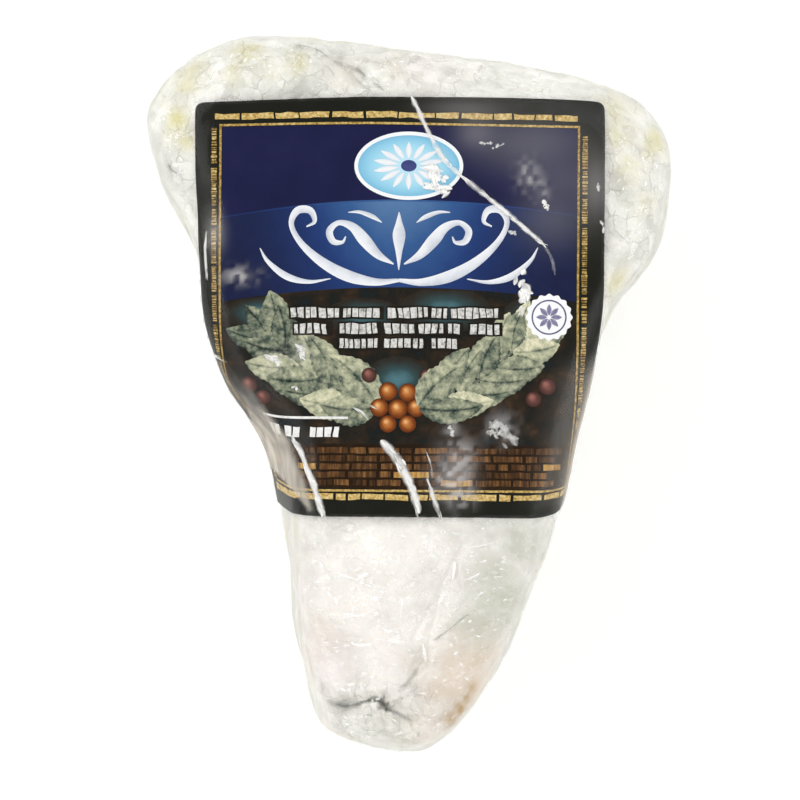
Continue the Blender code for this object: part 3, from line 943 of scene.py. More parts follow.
def make_mould_and_crease_shade_lines():
    """Grey-green lines along the cracks, folds and creases of the paste: mould in the crevice and
    cracks, and painted shade in the folds and creases and round the crevice. A dull velvet, with
    a grain of half a millimetre.
    """
    lines = [(curve_through(line, 12), half, strength) for line, half, strength in MOULD_AND_CREASE_SHADE_LINES]
    points, faces, cover = raised_strips(lines, front_point, MOULD_AND_SHADE_LIFT, 0.0, soft=True)
    material, tree = new_material("blue_mould_and_crease_shade")
    place = add(tree, "TexCoord", out=3)
    grain = add(tree, "TexNoise", Vector=place, Scale=1.0 / (0.5 * MM), Detail=3.0)
    colour = add(tree, "ValToRGB", grain, stops=((0.3, "#2B2F29"), (0.7, "#666B61")))
    velvet = add(tree, "BsdfPrincipled", Base_Color=colour, Roughness=0.9)
    cover_share = add(tree, "Attribute", attribute_name="cover", out=2)
    add(tree, "OutputMaterial", add(tree, "MixShader", cover_share, add(tree, "BsdfTransparent"), velvet))
    make_piece("mould_and_crease_shade_lines", points, faces, material, {"cover": cover})


# ================================ film =========================================================
WRINKLE_HEIGHT = 0.14
SWELL_HEIGHT = 0.14
SWELL_SIZE = 2.0
PULLED_HEIGHT = 0.12  # of the long folds that run from front to back down the sides
# Wrinkles: how they are drawn out along the axes whose share is under 1, then the share, the
# spacing and the cloud of each of their two sizes.
WINDING = ((1.0, 1.0, 1.0), (0.6, 4.6, 0), (0.4, 2.4, 1))
ACROSS = ((0.4, 1.0, 1.0), (0.5, 2.6, 2), (0.5, 1.5, 3))
DOWN = ((1.0, 1.0, 0.22), (0.6, 3.6, 1), (0.4, 2.0, 2))
SEAM_STEP = 0.03  # how far the back's seam lies below the solid's face
GLEAM_BLOB_SIZES = (2.6, 1.3)  # spacing of the painted gleam blobs, round white highlights, in two sizes
GLEAM_BLOB_ROUNDNESS = -2.3  # how steeply such a place fades from its middle
PUCKER_SIZE = 1.1
GLINT_FLECK_SIZE = 0.9
GLINT_FLECK_DRAWN = (0.62, 1.0, 1.0)  # painted glint flecks and gleam blobs are drawn out along x
SWAY_SIZE = 1.4  # spacing and reach of the shifts that bend the painted gleam blobs' edges
SWAY_REACH = 1.5
EDGE_ON_POWER = 4.0  # the higher, the nearer to edge-on the film is where it turns milky
EDGE_ON_MILK = 0.06
VEIL_COLOUR = "#E2DACD"
STREAK_STARTS = (-34.0, -22.0)  # towards the tip of these y the wrinkles run across the wedge
SEAM_HALF_WIDTH = 5.0
SEAM_EDGE = 0.8
# Painted highlights on the film, soft bright ragged patches: x, y, radius and strength.
GLEAMS = (
    (-8.5, -25.5, 5.5, 0.60),
    (-7.5, -31.0, 5.0, 0.95),
    (-8.0, -36.5, 5.0, 1.00),
    (-5.5, -41.5, 4.0, 1.00),
    (-5.0, -47.0, 4.0, 0.80),
    (3.0, -25.0, 6.0, 0.55),
    (0.5, -33.0, 4.0, 0.50),
    (13.0, -30.0, 4.0, 0.40),
    (-10.5, -51.5, 3.5, 0.70),
    (-3.5, -51.0, 3.5, 0.90),
    (1.6, -53.0, 2.6, 1.00),
    (-6.5, -58.0, 3.5, 1.00),
    (-1.5, -60.0, 3.0, 0.70),
    (-14.0, -30.0, 2.0, 0.60),
    (39.5, 28.0, 6.0, 0.45),
    (38.0, 20.0, 4.0, 0.45),
    (-24.0, 57.0, 9.0, 0.40),
    (-40.0, 42.0, 8.0, 0.35),
    (22.0, 57.0, 12.0, 0.35),
)
LEAST_GLEAM = 0.15
NO_GLEAM_NEAR_CREVICE = (0.5, 1.8)  # none within the first distance of it, all past the second
# Films: whiteness of the milky places, strength of puckers and of the painted glint flecks,
# the strongest mirror, and the milky colour.
FILMS = {
    "shrink_film": (0.20, 0.45, 0.35, 0.12, "#FDFCFA"),
    "fold_and_glint_film": (1.0, 0.3, 0.0, 0.14, "#FFFFFF"),
    "film_over_print": (1.0, 0.10, 0.0, 0.015, "#E6E2E0"),
    "pleat_highlight_film": (1.0, 0.2, 0.0, 0.14, "#F6F5F2"),
}


def wrinkles(points, drawn, *kinds):
    """Thin winding ridges from 0 to 1 where a cloud passes its middle value, of several sizes."""
    height = np.zeros(len(points))
    for share, size, channel in kinds:
        off_middle = np.abs(cloud(points * np.array(drawn), size, channel) - 0.5)
        height += share * np.clip(1.0 - off_middle * 8.0, 0.0, 1.0) ** 2
    return height


def make_film(points, normals):
    """Tight film over the wedge: it stays a little inside the solid's surface and carries thin
    winding wrinkles, which run across the narrow end. It is drawn taut round the sides, with long
    folds from front to back. Along the back it is lapped in a flat seam, a band that lies lower
    than the rest of the back.
    """
    x, y, z = points.T
    level = np.abs(normals[:, 2])
    free = 1.0 - under_label(x, y, z)
    leg = 1.0 - smooth_step(y, *STREAK_STARTS)
    wrinkle = wrinkles(points, *WINDING) * (1.0 - leg) + wrinkles(points, *ACROSS) * leg
    loose = free * (0.08 + 0.92 * smooth_step(level, 0.2, 0.8))
    swell = cloud(points, SWELL_SIZE, 2) - 0.5
    height = (WRINKLE_HEIGHT * wrinkle + SWELL_HEIGHT * swell) * loose - FILM_DEPTH
    pulled = wrinkles(points, *DOWN) * (1.0 - smooth_step(level, 0.15, 0.55)) * free
    height += PULLED_HEIGHT * pulled
    back = smooth_step(-normals[:, 2], 0.90, 0.99)
    seam = back * (1.0 - smooth_step(np.abs(x), SEAM_HALF_WIDTH, SEAM_HALF_WIDTH + SEAM_EDGE))
    height = height * (1.0 - seam) - SEAM_STEP * seam
    surface = points + normals * height[:, None]
    gleam = np.maximum(stain(x, y, GLEAMS), LEAST_GLEAM) * smooth_step(normals[:, 2], 0.3, 0.8)
    values = {
        # whiten: milky crease whitening on the wrinkles, painted sheen on the long folds down the sides, and
        # the seam
        "whiten": wrinkle * loose * (1.0 - 0.5 * back) + 0.7 * pulled + 0.35 * seam,
        "gleam": gleam * smooth_step(line_distance(x, y, TIP_CREVICE), *NO_GLEAM_NEAR_CREVICE),
        "taut": 1.0 - smooth_step(level, 0.25, 0.75),
    }
    faces = ring_faces(RINGS, SEGMENTS)
    piece = make_piece("film", surface, faces, shrink_film("shrink_film"), values)
    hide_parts("wrapped_cheese")


def shrink_film(name):
    """Polyethylene shrink film, blown and heat-shrunk: clear and glossy, with a broken sheen from
    fine puckers. It turns milky where it is creased and where it is seen edge-on. Small white
    flecks and soft round white blobs, strongest where the gleam attribute is high, are painted
    glints and highlights. Where it is drawn taut it has no puckers and no painted flecks or
    blobs. A tan veil is painted glare where it catches the light on a steep side.
    """
    milk, pucker_strength, glint_fleck_strength, most_mirror, milk_colour = FILMS[name]
    material, tree = new_material(name)
    place = add(tree, "TexCoord", out=3)
    taut = add(tree, "Attribute", attribute_name="taut", out=2)
    loose = add(tree, "Math", 1.0, taut, operation="SUBTRACT")
    pucker = add(tree, "TexNoise", Vector=place, Scale=1.0 / (PUCKER_SIZE * MM), Detail=2.0, Roughness=0.55)
    pucker = add(tree, "Math", pucker, loose, operation="MULTIPLY")
    bump = add(tree, "Bump", Strength=pucker_strength, Distance=0.30 * MM, Height=pucker)
    gloss = add(tree, "BsdfAnisotropic", Color="#FFFFFF", Roughness=0.13, Normal=bump)
    clear = add(tree, "BsdfTransparent")
    outside = add(tree, "NewGeometry", out=6)
    outside = add(tree, "Math", 1.0, outside, operation="SUBTRACT")
    mirror = add(tree, "Fresnel", IOR=1.5, Normal=bump)
    mirror = add(tree, "Math", mirror, most_mirror, operation="MINIMUM")
    mirror = add(tree, "Math", mirror, outside, operation="MULTIPLY")
    film = add(tree, "MixShader", mirror, clear, gloss)
    veiled = add(tree, "Attribute", attribute_name="tan", out=2)
    milky = add(tree, "Mix", veiled, milk_colour, VEIL_COLOUR, data_type="RGBA")
    milky = add(tree, "BsdfDiffuse", Color=milky)
    whiten = add(tree, "Attribute", attribute_name="whiten", out=2)
    drawn = add(tree, "VectorMath", place, GLINT_FLECK_DRAWN, operation="MULTIPLY")
    glints_and_milk = add(tree, "TexNoise", Vector=drawn, Scale=1.0 / (GLINT_FLECK_SIZE * MM), Detail=1.0, Roughness=0.5)
    glints_and_milk = add(tree, "MapRange", glints_and_milk, 0.68, 0.76, 0.0, glint_fleck_strength)
    sway = add(tree, "TexNoise", Vector=drawn, Scale=1.0 / (SWAY_SIZE * MM), Detail=1.0, out=1)
    bent = add(tree, "VectorMath", sway, (SWAY_REACH * MM,) * 3, drawn, operation="MULTIPLY_ADD")
    gleam = add(tree, "Attribute", attribute_name="gleam", out=2)
    for size in GLEAM_BLOB_SIZES:
        far = add(tree, "TexVoronoi", Vector=bent, Scale=1.0 / (size * MM))
        most = add(tree, "TexVoronoi", Vector=bent, Scale=1.0 / (size * MM), out=1)
        most = add(tree, "SeparateXYZ", most)
        gleam_blob = add(tree, "Math", far, GLEAM_BLOB_ROUNDNESS, most, operation="MULTIPLY_ADD")
        gleam_blob = add(tree, "MapRange", gleam_blob, -0.10, 0.65, 0.0, 1.0)
        glints_and_milk = add(tree, "Math", gleam_blob, gleam, glints_and_milk, operation="MULTIPLY_ADD")
    glints_and_milk = add(tree, "Math", glints_and_milk, loose, operation="MULTIPLY")
    edge_on = add(tree, "LayerWeight", Blend=0.5, out=1)
    edge_on = add(tree, "Math", edge_on, EDGE_ON_POWER, operation="POWER")
    glints_and_milk = add(tree, "Math", edge_on, EDGE_ON_MILK, glints_and_milk, operation="MULTIPLY_ADD")
    whiten = add(tree, "Math", whiten, milk, glints_and_milk, operation="MULTIPLY_ADD", use_clamp=True)
    film = add(tree, "MixShader", whiten, film, milky)
    add(tree, "OutputMaterial", film)
    return material


# Folds in the film over bare cheese, whitened as painted highlights: points (x, y), half width, whiteness.
CHEESE_PLEATS = (
    (((8.0, -29.2), (8.0, -30.6), (7.7, -32.2)), 0.34, 1.0),
    (((6.2, -34.6), (5.8, -35.6), (5.2, -36.6)), 0.34, 0.90),
    (((2.6, -43.4), (2.9, -45.0), (3.0, -46.6)), 0.34, 0.80),
    (((-15.4, -29.2), (-15.0, -29.8), (-14.8, -30.5)), 0.24, 1.0),
    (((-14.2, -31.4), (-13.8, -31.9), (-13.3, -32.3)), 0.30, 1.0),
    (((-13.9, -34.3), (-13.6, -34.9), (-13.2, -35.3)), 0.26, 0.90),
    (((-12.7, -35.4), (-12.4, -36.0), (-12.2, -36.7)), 0.30, 1.0),
    (((-12.4, -31.0), (-10.6, -31.8), (-8.8, -32.2)), 0.16, 0.80),
    (((10.6, -26.8), (13.0, -26.4), (15.0, -25.8)), 0.20, 0.70),
    (((9.4, -32.6), (11.0, -32.0), (12.4, -31.2)), 0.22, 0.60),
    (((-10.8, -38.2), (-8.8, -38.6), (-7.0, -38.4)), 0.24, 0.90),
    (((-9.8, -43.4), (-8.2, -43.8), (-6.4, -43.6)), 0.24, 0.90),
)
GLINT_COUNT = 260
GLINT_LENGTH = (0.4, 1.2)
GLINT_HALF_WIDTH = (0.10, 0.26)
GLINT_TURN = 0.45  # spread of the glints' direction about +X at the narrow end, in radians
GLINT_MARGIN = 4.0  # they keep this far inside the outline
GLINT_TRIES = 12  # places drawn for each glint, as most fall on the label
FOLD_LIFT = -0.16
FOLD_RIDGE = 0.08


def bare_front(draw, count):
    """Seeded random places (x, y) on the front, inside its edges and clear of the label."""
    x = draw.uniform(-46.0, 46.0, GLINT_TRIES * count)
    y = draw.uniform(-62.0, 62.0, GLINT_TRIES * count)
    inside = outline_distance(x, y)[0] < -GLINT_MARGIN
    clear = under_label(x, y, np.full(len(x), THICKNESS)) < 0.3
    chosen = inside & clear
    return x[chosen][:count], y[chosen][:count]


def make_film_glints():
    """Folds and short puckers that stand on the film over the bare cheese, painted white as glints."""
    draw = np.random.default_rng(44)
    lines = [(curve_through(line, 10), half, white) for line, half, white in CHEESE_PLEATS]
    share = np.linspace(-0.5, 0.5, 7)[:, None]
    for x, y in zip(*bare_front(draw, GLINT_COUNT)):
        turn = draw.normal(0.0, GLINT_TURN) if y < STREAK_STARTS[1] else draw.uniform(0.0, np.pi)
        length = draw.uniform(*GLINT_LENGTH)
        line = np.array((x, y)) + share * length * np.array((np.cos(turn), np.sin(turn)))
        lines.append((line, draw.uniform(*GLINT_HALF_WIDTH), draw.uniform(0.3, 1.0)))
    points, faces, cover = raised_strips(lines, front_point, FOLD_LIFT, FOLD_RIDGE)
    values = {"whiten": cover}
    make_piece("film_folds_and_glints", points, faces, shrink_film("fold_and_glint_film"), values)


# ================================ label: shapes ================================================
def strip(path, half_widths, rows=3):
    """Grid of a strip along a path: from each of its points it reaches to both sides by the half
    width there. Also gives where each grid point lies across the strip, from -1 to 1.
    """
    path = np.asarray(path, dtype=float)
    along = unit(np.gradient(path, axis=0))
    across = np.linspace(-1.0, 1.0, rows)
    offset = np.broadcast_to(half_widths, len(path))[:, None] * across
    u = path[:, :1] - along[:, 1:] * offset
    v = path[:, 1:] + along[:, :1] * offset
    return u, v, np.broadcast_to(across, u.shape)


def between(left, right, low, high, spacing=0.5):
    """Grid between two uprights and two edges, each a height or a function of u."""
    columns = max(int((right - left) / spacing) + 1, 2)
    u = np.linspace(left, right, columns)
    bottom = low(u) if callable(low) else np.full(columns, low)
    top = high(u) if callable(high) else np.full(columns, high)
    rows = max(int(np.max(top - bottom) / spacing) + 1, 2)
    share = np.linspace(0.0, 1.0, rows)
    v = bottom[:, None] * (1.0 - share) + top[:, None] * share
    return np.broadcast_to(u[:, None], v.shape), v


def disc(middle, radii, count=9):
    """Grid of a round or oval field: a square grid bent to a disc, so it has no pole. Also gives
    each point's share of the way out.
    """
    line = np.linspace(-1.0, 1.0, count)
    x, y = np.meshgrid(line, line, indexing="ij")
    round_x = x * np.sqrt(1.0 - 0.5 * y**2)
    round_y = y * np.sqrt(1.0 - 0.5 * x**2)
    return middle[0] + radii[0] * round_x, middle[1] + radii[1] * round_y, np.hypot(round_x, round_y)


def ragged_box(left, right, low, high, spacing, wobble):
    """Grid of an upright rectangle whose edges are made uneven by soft random shifts."""
    columns = np.linspace(left, right, max(int((right - left) / spacing) + 1, 2))
    rows = np.linspace(low, high, max(int((high - low) / spacing) + 1, 2))
    u, v = np.meshgrid(columns, rows, indexing="ij")
    shifts = [2.0 * wobble * (cloud(flat_points(u, v), 1.6, way) - 0.5).reshape(u.shape) for way in (0, 1)]
    return u + shifts[0], v + shifts[1]


# Inks: size of the grain in mm, how far it moves the tone, and the colours from dark to light.
WHITE_STOPS = ((0.0, "#9FA6B4"), (0.5, "#DEE1E6"), (1.0, "#F7F7F5"))
BLUE_STOPS = ((0.0, "#181D3C"), (0.35, "#20376C"), (0.7, "#34578A"), (1.0, "#5477A0"))
SAGE_STOPS = ((0.0, "#1B211B"), (0.25, "#49544A"), (0.5, "#8A8F78"), (0.75, "#BBBB9D"), (1.0, "#E0DBBC"))
INKS = {
    "black_ink": (6.0, 0.8, ((0.0, "#11120C"), (0.5, "#191A14"), (1.0, "#23241D"))),
    "indigo_ink": (9.0, 0.7, ((0.0, "#10122C"), (0.5, "#191B40"), (1.0, "#25264F"))),
    "blue_ink": (2.5, 0.12, BLUE_STOPS),
    "band_line_ink": (2.5, 0.3, BLUE_STOPS),
    "dark_brown_ink": (4.0, 1.7, ((0.0, "#122329"), (0.35, "#191A17"), (0.6, "#2A2118"), (1.0, "#4E3B28"))),
    "brown_ink": (3.0, 0.8, ((0.0, "#150D05"), (0.5, "#24170A"), (1.0, "#3C2B17"))),
    "gold_ink": (0.5, 1.6, ((0.0, "#33260F"), (0.35, "#8E7238"), (0.6, "#BE9F5A"), (1.0, "#E6D39E"))),
    "white_ink": (3.0, 0.7, WHITE_STOPS),
    "badge_white_ink": (3.0, 0.3, WHITE_STOPS),
    "sky_ink": (3.0, 0.08, ((0.0, "#5FA6CC"), (0.5, "#9FD3E6"), (1.0, "#D3EAF2"))),
    "badge_indigo_ink": (1.0, 0.5, ((0.0, "#2C2F63"), (1.0, "#5A66A0"))),
    "seal_white_ink": (3.0, 0.3, WHITE_STOPS),
    "violet_ink": (1.0, 0.8, ((0.0, "#4C4A70"), (1.0, "#B4B2C8"))),
    "shade_ink": (1.4, 1.6, ((0.0, "#14110D"), (1.0, "#2E2A22"))),
    "pale_ink": (0.5, 1.3, ((0.30, "#5C5952"), (0.44, "#A19F99"), (0.6, "#CBCAC5"), (1.0, "#ECEBE7"))),
    "white_row_ink": (0.55, 1.0, ((0.30, "#8C8983"), (0.44, "#C4C2BD"), (0.6, "#E4E3E0"), (1.0, "#F4F4F2"))),
    "tan_ink": (0.6, 1.1, ((0.15, "#1D1208"), (0.45, "#533820"), (0.7, "#8A6238"), (1.0, "#C9A052"))),
    "teal_ink": (2.0, 0.35, ((0.0, "#2A231B"), (0.5, "#32484A"), (1.0, "#537C86"))),
    "sage_ink": (1.3, 1.3, SAGE_STOPS),
    "amber_ink": (0.8, 0.3, ((0.0, "#341A0A"), (0.4, "#7E411B"), (0.7, "#B9743A"), (1.0, "#EBBB80"))),
    "plum_ink": (0.8, 0.3, ((0.0, "#1E1512"), (0.5, "#5B3A34"), (1.0, "#A06A60"))),
}
DRAWN_GRAIN = {"tan_ink": (1.0, 0.12, 1.0)}  # its grain is drawn out into upright streaks


def print_layer(name, patches, ink, lift, step=0.0):
    """Printed shapes as one piece: grids (u, v, tone) laid on the bent label at one lift, or each
    a step above the one before.
    """
    points = []
    faces = []
    tones = []
    count = 0
    for number, (u, v, tone) in enumerate(patches):
        points.append(label_point(u, v, np.full(u.shape, lift + step * number)).reshape(-1, 3))
        faces.append(grid_faces(*u.shape) + count)
        tones.append(np.broadcast_to(tone, u.shape).ravel())
        count += u.size
    material = bpy.data.materials.get(ink) or printed_ink(ink)
    values = {"tone": np.concatenate(tones)}
    faces = np.concatenate(faces).tolist()
    return make_piece(name, np.concatenate(points), faces, material, values)


def printed_ink(name):
    """Offset ink on coated paper: a screened flat colour that shifts in tone over an area, with
    fine grain. The film clings to it, which takes most of its own shine. The tone kept at each
    point, moved by the grain, picks the colour from the stops.
    """
    grain_size, spread, stops = INKS[name]
    material, tree = new_material(name)
    stretch = DRAWN_GRAIN.get(name, (1.0, 1.0, 1.0))
    place = add(tree, "VectorMath", add(tree, "TexCoord", out=3), stretch, operation="MULTIPLY")
    grain = add(tree, "TexNoise", Vector=place, Scale=1.0 / (grain_size * MM), Detail=4.0, Roughness=0.6)
    grain = add(tree, "Math", grain, 0.5, operation="SUBTRACT")
    tone = add(tree, "Attribute", attribute_name="tone", out=2)
    tone = add(tree, "Math", grain, spread, tone, operation="MULTIPLY_ADD")
    colour = add(tree, "ValToRGB", tone, stops=stops)
    shader = add(tree, "BsdfPrincipled", Base_Color=colour, Roughness=0.4, Specular_IOR_Level=0.12)
    add(tree, "OutputMaterial", shader)
    return material


# ================================ label: fields and lines ======================================
HALF_WIDTH = 0.5 * LABEL_WIDTH
HALF_HEIGHT_OF_LABEL = 0.5 * LABEL_HEIGHT
PRINT_TURN = -0.014  # the print's upper edge lies this much askew to the label's
PRINT_RISE = 0.35
DASH_ROW_IN = 3.45  # from the label's edge to the middle of the row of gold dashes
DASH_ROW_HALF = 0.50
GOLD_LINE_IN = 4.55
GOLD_LINE_HALF = 0.19
FIELD_IN = 4.85
FIELD_RIGHT = HALF_WIDTH - FIELD_IN
FIELD_TOP = HALF_HEIGHT_OF_LABEL - FIELD_IN
UPPER_LINE_LOWER = 0.38  # the upper gold line stands off its dashes by this much more
PANEL_TOP = -23.7
BAND_LINE_HALF = 0.14
SHEET_SPACING = 0.6
PAPER_THICKNESS = 0.10
ARCH_RISE = (18.4, 2.4)  # height of an arch in the middle, and its fall at ARCH_REACH to each side
FOOT_ARCH_RISE = (3.4, 2.2)
ARCH_REACH = 30.0


def upper_arc(u):
    """Height of the arch between the indigo field and the blue band."""
    return ARCH_RISE[0] - ARCH_RISE[1] * (u / ARCH_REACH) ** 2


def lower_arc(u):
    """Height of the arch that the blue band stands on."""
    return FOOT_ARCH_RISE[0] - FOOT_ARCH_RISE[1] * (u / ARCH_REACH) ** 2


def make_paper():
    """The printed sheet's black ground, with a thin wall and rounded corners: past a corner's
    start, points of the square grid are drawn in to the corner's circle.
    """
    columns = np.linspace(-HALF_WIDTH, HALF_WIDTH, int(LABEL_WIDTH / SHEET_SPACING) + 1)
    rows = np.linspace(-HALF_HEIGHT_OF_LABEL, HALF_HEIGHT_OF_LABEL, int(LABEL_HEIGHT / SHEET_SPACING) + 1)
    u, v = np.meshgrid(columns, rows, indexing="ij")
    over_u = np.maximum(np.abs(u) - (HALF_WIDTH - LABEL_CORNER), 0.0)
    over_v = np.maximum(np.abs(v) - (HALF_HEIGHT_OF_LABEL - LABEL_CORNER), 0.0)
    keep = np.maximum(over_u, over_v) / np.maximum(np.hypot(over_u, over_v), 1e-9)
    u = u - np.sign(u) * over_u * (1.0 - keep)
    v = v - np.sign(v) * over_v * (1.0 - keep)
    piece = print_layer("label_paper", [(u, v, 0.5)], "black_ink", PAPER_LIFT)
    wall = piece.modifiers.new("wall", "SOLIDIFY")
    wall.thickness = PAPER_THICKNESS * MM
    wall.offset = -1.0
    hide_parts("label")


def make_fields():
    """Fields of colour inside the gold line: indigo, blue band, picture ground, brown panel."""
    u, v = between(-FIELD_RIGHT, FIELD_RIGHT, upper_arc, FIELD_TOP - UPPER_LINE_LOWER)
    print_layer("indigo_field", [askew((u, v, 0.5))], "indigo_ink", FIELD_LIFT)
    u, v = between(-FIELD_RIGHT, FIELD_RIGHT, lower_arc, upper_arc)
    rise = (v - lower_arc(u)) / (upper_arc(u) - lower_arc(u))
    glow = np.exp(-((u / 15.0) ** 2)) * (0.45 + 0.55 * rise)
    print_layer("blue_band", [(u, v, glow)], "blue_ink", FIELD_LIFT)
    arch = np.linspace(-FIELD_RIGHT, FIELD_RIGHT, 121)
    u, v, _ = strip(np.stack((arch, upper_arc(arch)), axis=1), BAND_LINE_HALF)
    print_layer("band_line", [(u, v, 0.75 * np.exp(-((u / 22.0) ** 2)))], "band_line_ink", GLOW_LIFT)
    u, v = between(-FIELD_RIGHT, FIELD_RIGHT, PANEL_TOP, lower_arc)
    print_layer("picture_ground", [(u, v, 0.48)], "dark_brown_ink", FIELD_LIFT)
    u, v = between(-FIELD_RIGHT, FIELD_RIGHT, -FIELD_TOP, PANEL_TOP)
    print_layer("brown_panel", [(u, v, 0.5)], "brown_ink", FIELD_LIFT)


def broken_row(draw, start, end, longest, gap, shortest=0.25):
    """Starts and ends of dashes of random length along a row. The shortest is a share of the
    longest.
    """
    dashes = []
    place = start
    while place < end - 0.4 * longest - 0.05:
        finish = min(place + draw.uniform(shortest, 1.0) * longest, end)
        dashes.append((place, finish))
        place = finish + gap * draw.uniform(0.6, 1.6)
    return dashes


def askew(grid):
    """A printed grid (u, v, tone) set a little askew towards the label's upper edge."""
    u, v, tone = grid
    return u, v + (PRINT_RISE + PRINT_TURN * u) * smooth_step(v, 20.0, 32.0), tone


def make_gold_frame():
    """A thin gold line round the fields, and outside it a row of gold marks on each side: long
    uneven dashes above and below, short ticks in groups to the left and right.
    """
    draw = np.random.default_rng(12)
    patches = []
    line_u = HALF_WIDTH - GOLD_LINE_IN
    line_v = HALF_HEIGHT_OF_LABEL - GOLD_LINE_IN
    half = GOLD_LINE_HALF
    upper = line_v - UPPER_LINE_LOWER
    for middle in (-line_v, upper):
        patches.append((*between(-line_u - half, line_u + half, middle - half, middle + half), 0.56))
    for middle in (-line_u, line_u):
        patches.append((*between(middle - half, middle + half, -line_v, upper), 0.46))
    row_u = HALF_WIDTH - DASH_ROW_IN
    row_v = HALF_HEIGHT_OF_LABEL - DASH_ROW_IN
    half = DASH_ROW_HALF
    for side in (-1.0, 1.0):
        middle = side * row_v
        for start, end in broken_row(draw, -row_u, row_u, 6.5, 0.35):
            patches.append((*ragged_box(start, end, middle - half, middle + half, 0.3, 0.14), 0.66))
        middle = side * row_u
        for start, end in broken_row(draw, -row_v + 1.6, row_v - 1.6, 7.0, 0.35):
            for low, high in broken_row(draw, start, end, 0.42, 0.13):
                width = half * draw.uniform(0.75, 1.05)
                tick = between(middle - width, middle + width, low, high)
                patches.append((*tick, draw.uniform(0.3, 0.7)))
    print_layer("gold_frame", [askew(grid) for grid in patches], "gold_ink", SHAPE_LIFT)


# ================================ label: generic ornament ======================================
# Strokes of a mirrored pen scroll: points (u, v, half width). The right half is given.
SCROLL_STROKES = (
    (
        (0.0, 4.6, 0.30), (4.0, 4.3, 0.65), (8.6, 5.3, 1.00), (13.0, 7.6, 0.85), (16.8, 11.0, 0.55),
        (18.6, 14.4, 0.45), (17.6, 16.8, 0.65), (15.4, 16.8, 0.60), (14.6, 14.9, 0.35), (16.0, 14.0, 0.12),
    ),
    (
        (0.9, 7.4, 0.12), (3.6, 9.0, 0.70), (6.0, 11.6, 1.05), (8.0, 13.8, 0.75), (10.4, 14.6, 0.45),
        (12.0, 13.2, 0.60), (11.4, 11.4, 0.55), (9.8, 11.2, 0.30), (9.2, 12.2, 0.10),
    ),
    ((11.8, 4.9, 0.08), (15.6, 4.4, 0.35), (19.4, 5.4, 0.60), (22.6, 8.0, 0.35), (24.0, 10.4, 0.08)),
    ((3.0, 14.6, 0.08), (4.6, 15.6, 0.40), (6.8, 16.4, 0.30), (8.8, 16.4, 0.08)),
)
CENTRE_STROKE = (
    (0.0, 6.4, 0.08), (0.0, 9.4, 0.55), (0.0, 12.4, 1.10), (0.0, 14.6, 0.55), (0.0, 16.4, 0.08),
)
BADGE_MIDDLE = (1.6, 24.4)
BADGE_RADII = (9.4, 5.9)
BADGE_RIM = 0.65
SEAL_MIDDLE = (26.0, -1.6)
SEAL_RADIUS = 3.9
SEAL_LOBES = 16
SEAL_RING_RADIUS = 2.9
OVER_PRINT = 0.025  # each part of the badge lies this much over the one before


def make_scroll():
    """White pen scroll in the blue band, with swelling and tapering strokes."""
    patches = []
    for stroke in (CENTRE_STROKE, *SCROLL_STROKES):
        curve = curve_through(stroke, 8)
        u, v, across = strip(curve[:, :2], curve[:, 2])
        tone = 0.46 + 0.22 * across
        patches.append((u, v, tone))
        if stroke is not CENTRE_STROKE:
            patches.append((-u[:, ::-1], v[:, ::-1], tone))
    print_layer("white_scroll", patches, "white_ink", SHAPE_LIFT)


def rosette(middle, petals, inner, outer, half_width, widen=1.0):
    """Pointed petals round a middle, each a strip. The rosette is widened along u."""
    share = np.linspace(0.0, 1.0, 11)
    profile = half_width * np.sin(np.pi * np.clip(share, 0.03, 0.97)) ** 0.8
    radius = inner + (outer - inner) * share
    grids = []
    for turn in np.arange(petals) * 2.0 * np.pi / petals:
        path = np.stack((widen * radius * np.sin(turn), radius * np.cos(turn)), axis=1)
        u, v, across = strip(path + np.array(middle), profile, rows=5)
        grids.append((u, v, across))
    return grids


def make_badge():
    """Plain oval badge: white rim, sky-blue field and a white rosette with an indigo middle."""
    radius_u, radius_v = BADGE_RADII
    u, v, _ = disc(BADGE_MIDDLE, BADGE_RADII, 27)
    print_layer("badge_rim", [(u, v, 0.8)], "badge_white_ink", SHAPE_LIFT)
    u, v, way = disc(BADGE_MIDDLE, (radius_u - BADGE_RIM, radius_v - BADGE_RIM), 27)
    print_layer("badge_field", [(u, v, 0.75 - 0.6 * way**2)], "sky_ink", SHAPE_LIFT + OVER_PRINT)
    petals = rosette(BADGE_MIDDLE, 14, 1.3, 4.1, 0.50, widen=1.5)
    patches = [(u, v, 0.75 - 0.25 * np.abs(across)) for u, v, across in petals]
    print_layer("badge_rosette", patches, "badge_white_ink", SHAPE_LIFT + 2.0 * OVER_PRINT)
    u, v, _ = disc(BADGE_MIDDLE, (1.35, 1.0), 9)
    print_layer("badge_middle", [(u, v, 0.3)], "badge_indigo_ink", SHAPE_LIFT + 2.0 * OVER_PRINT)


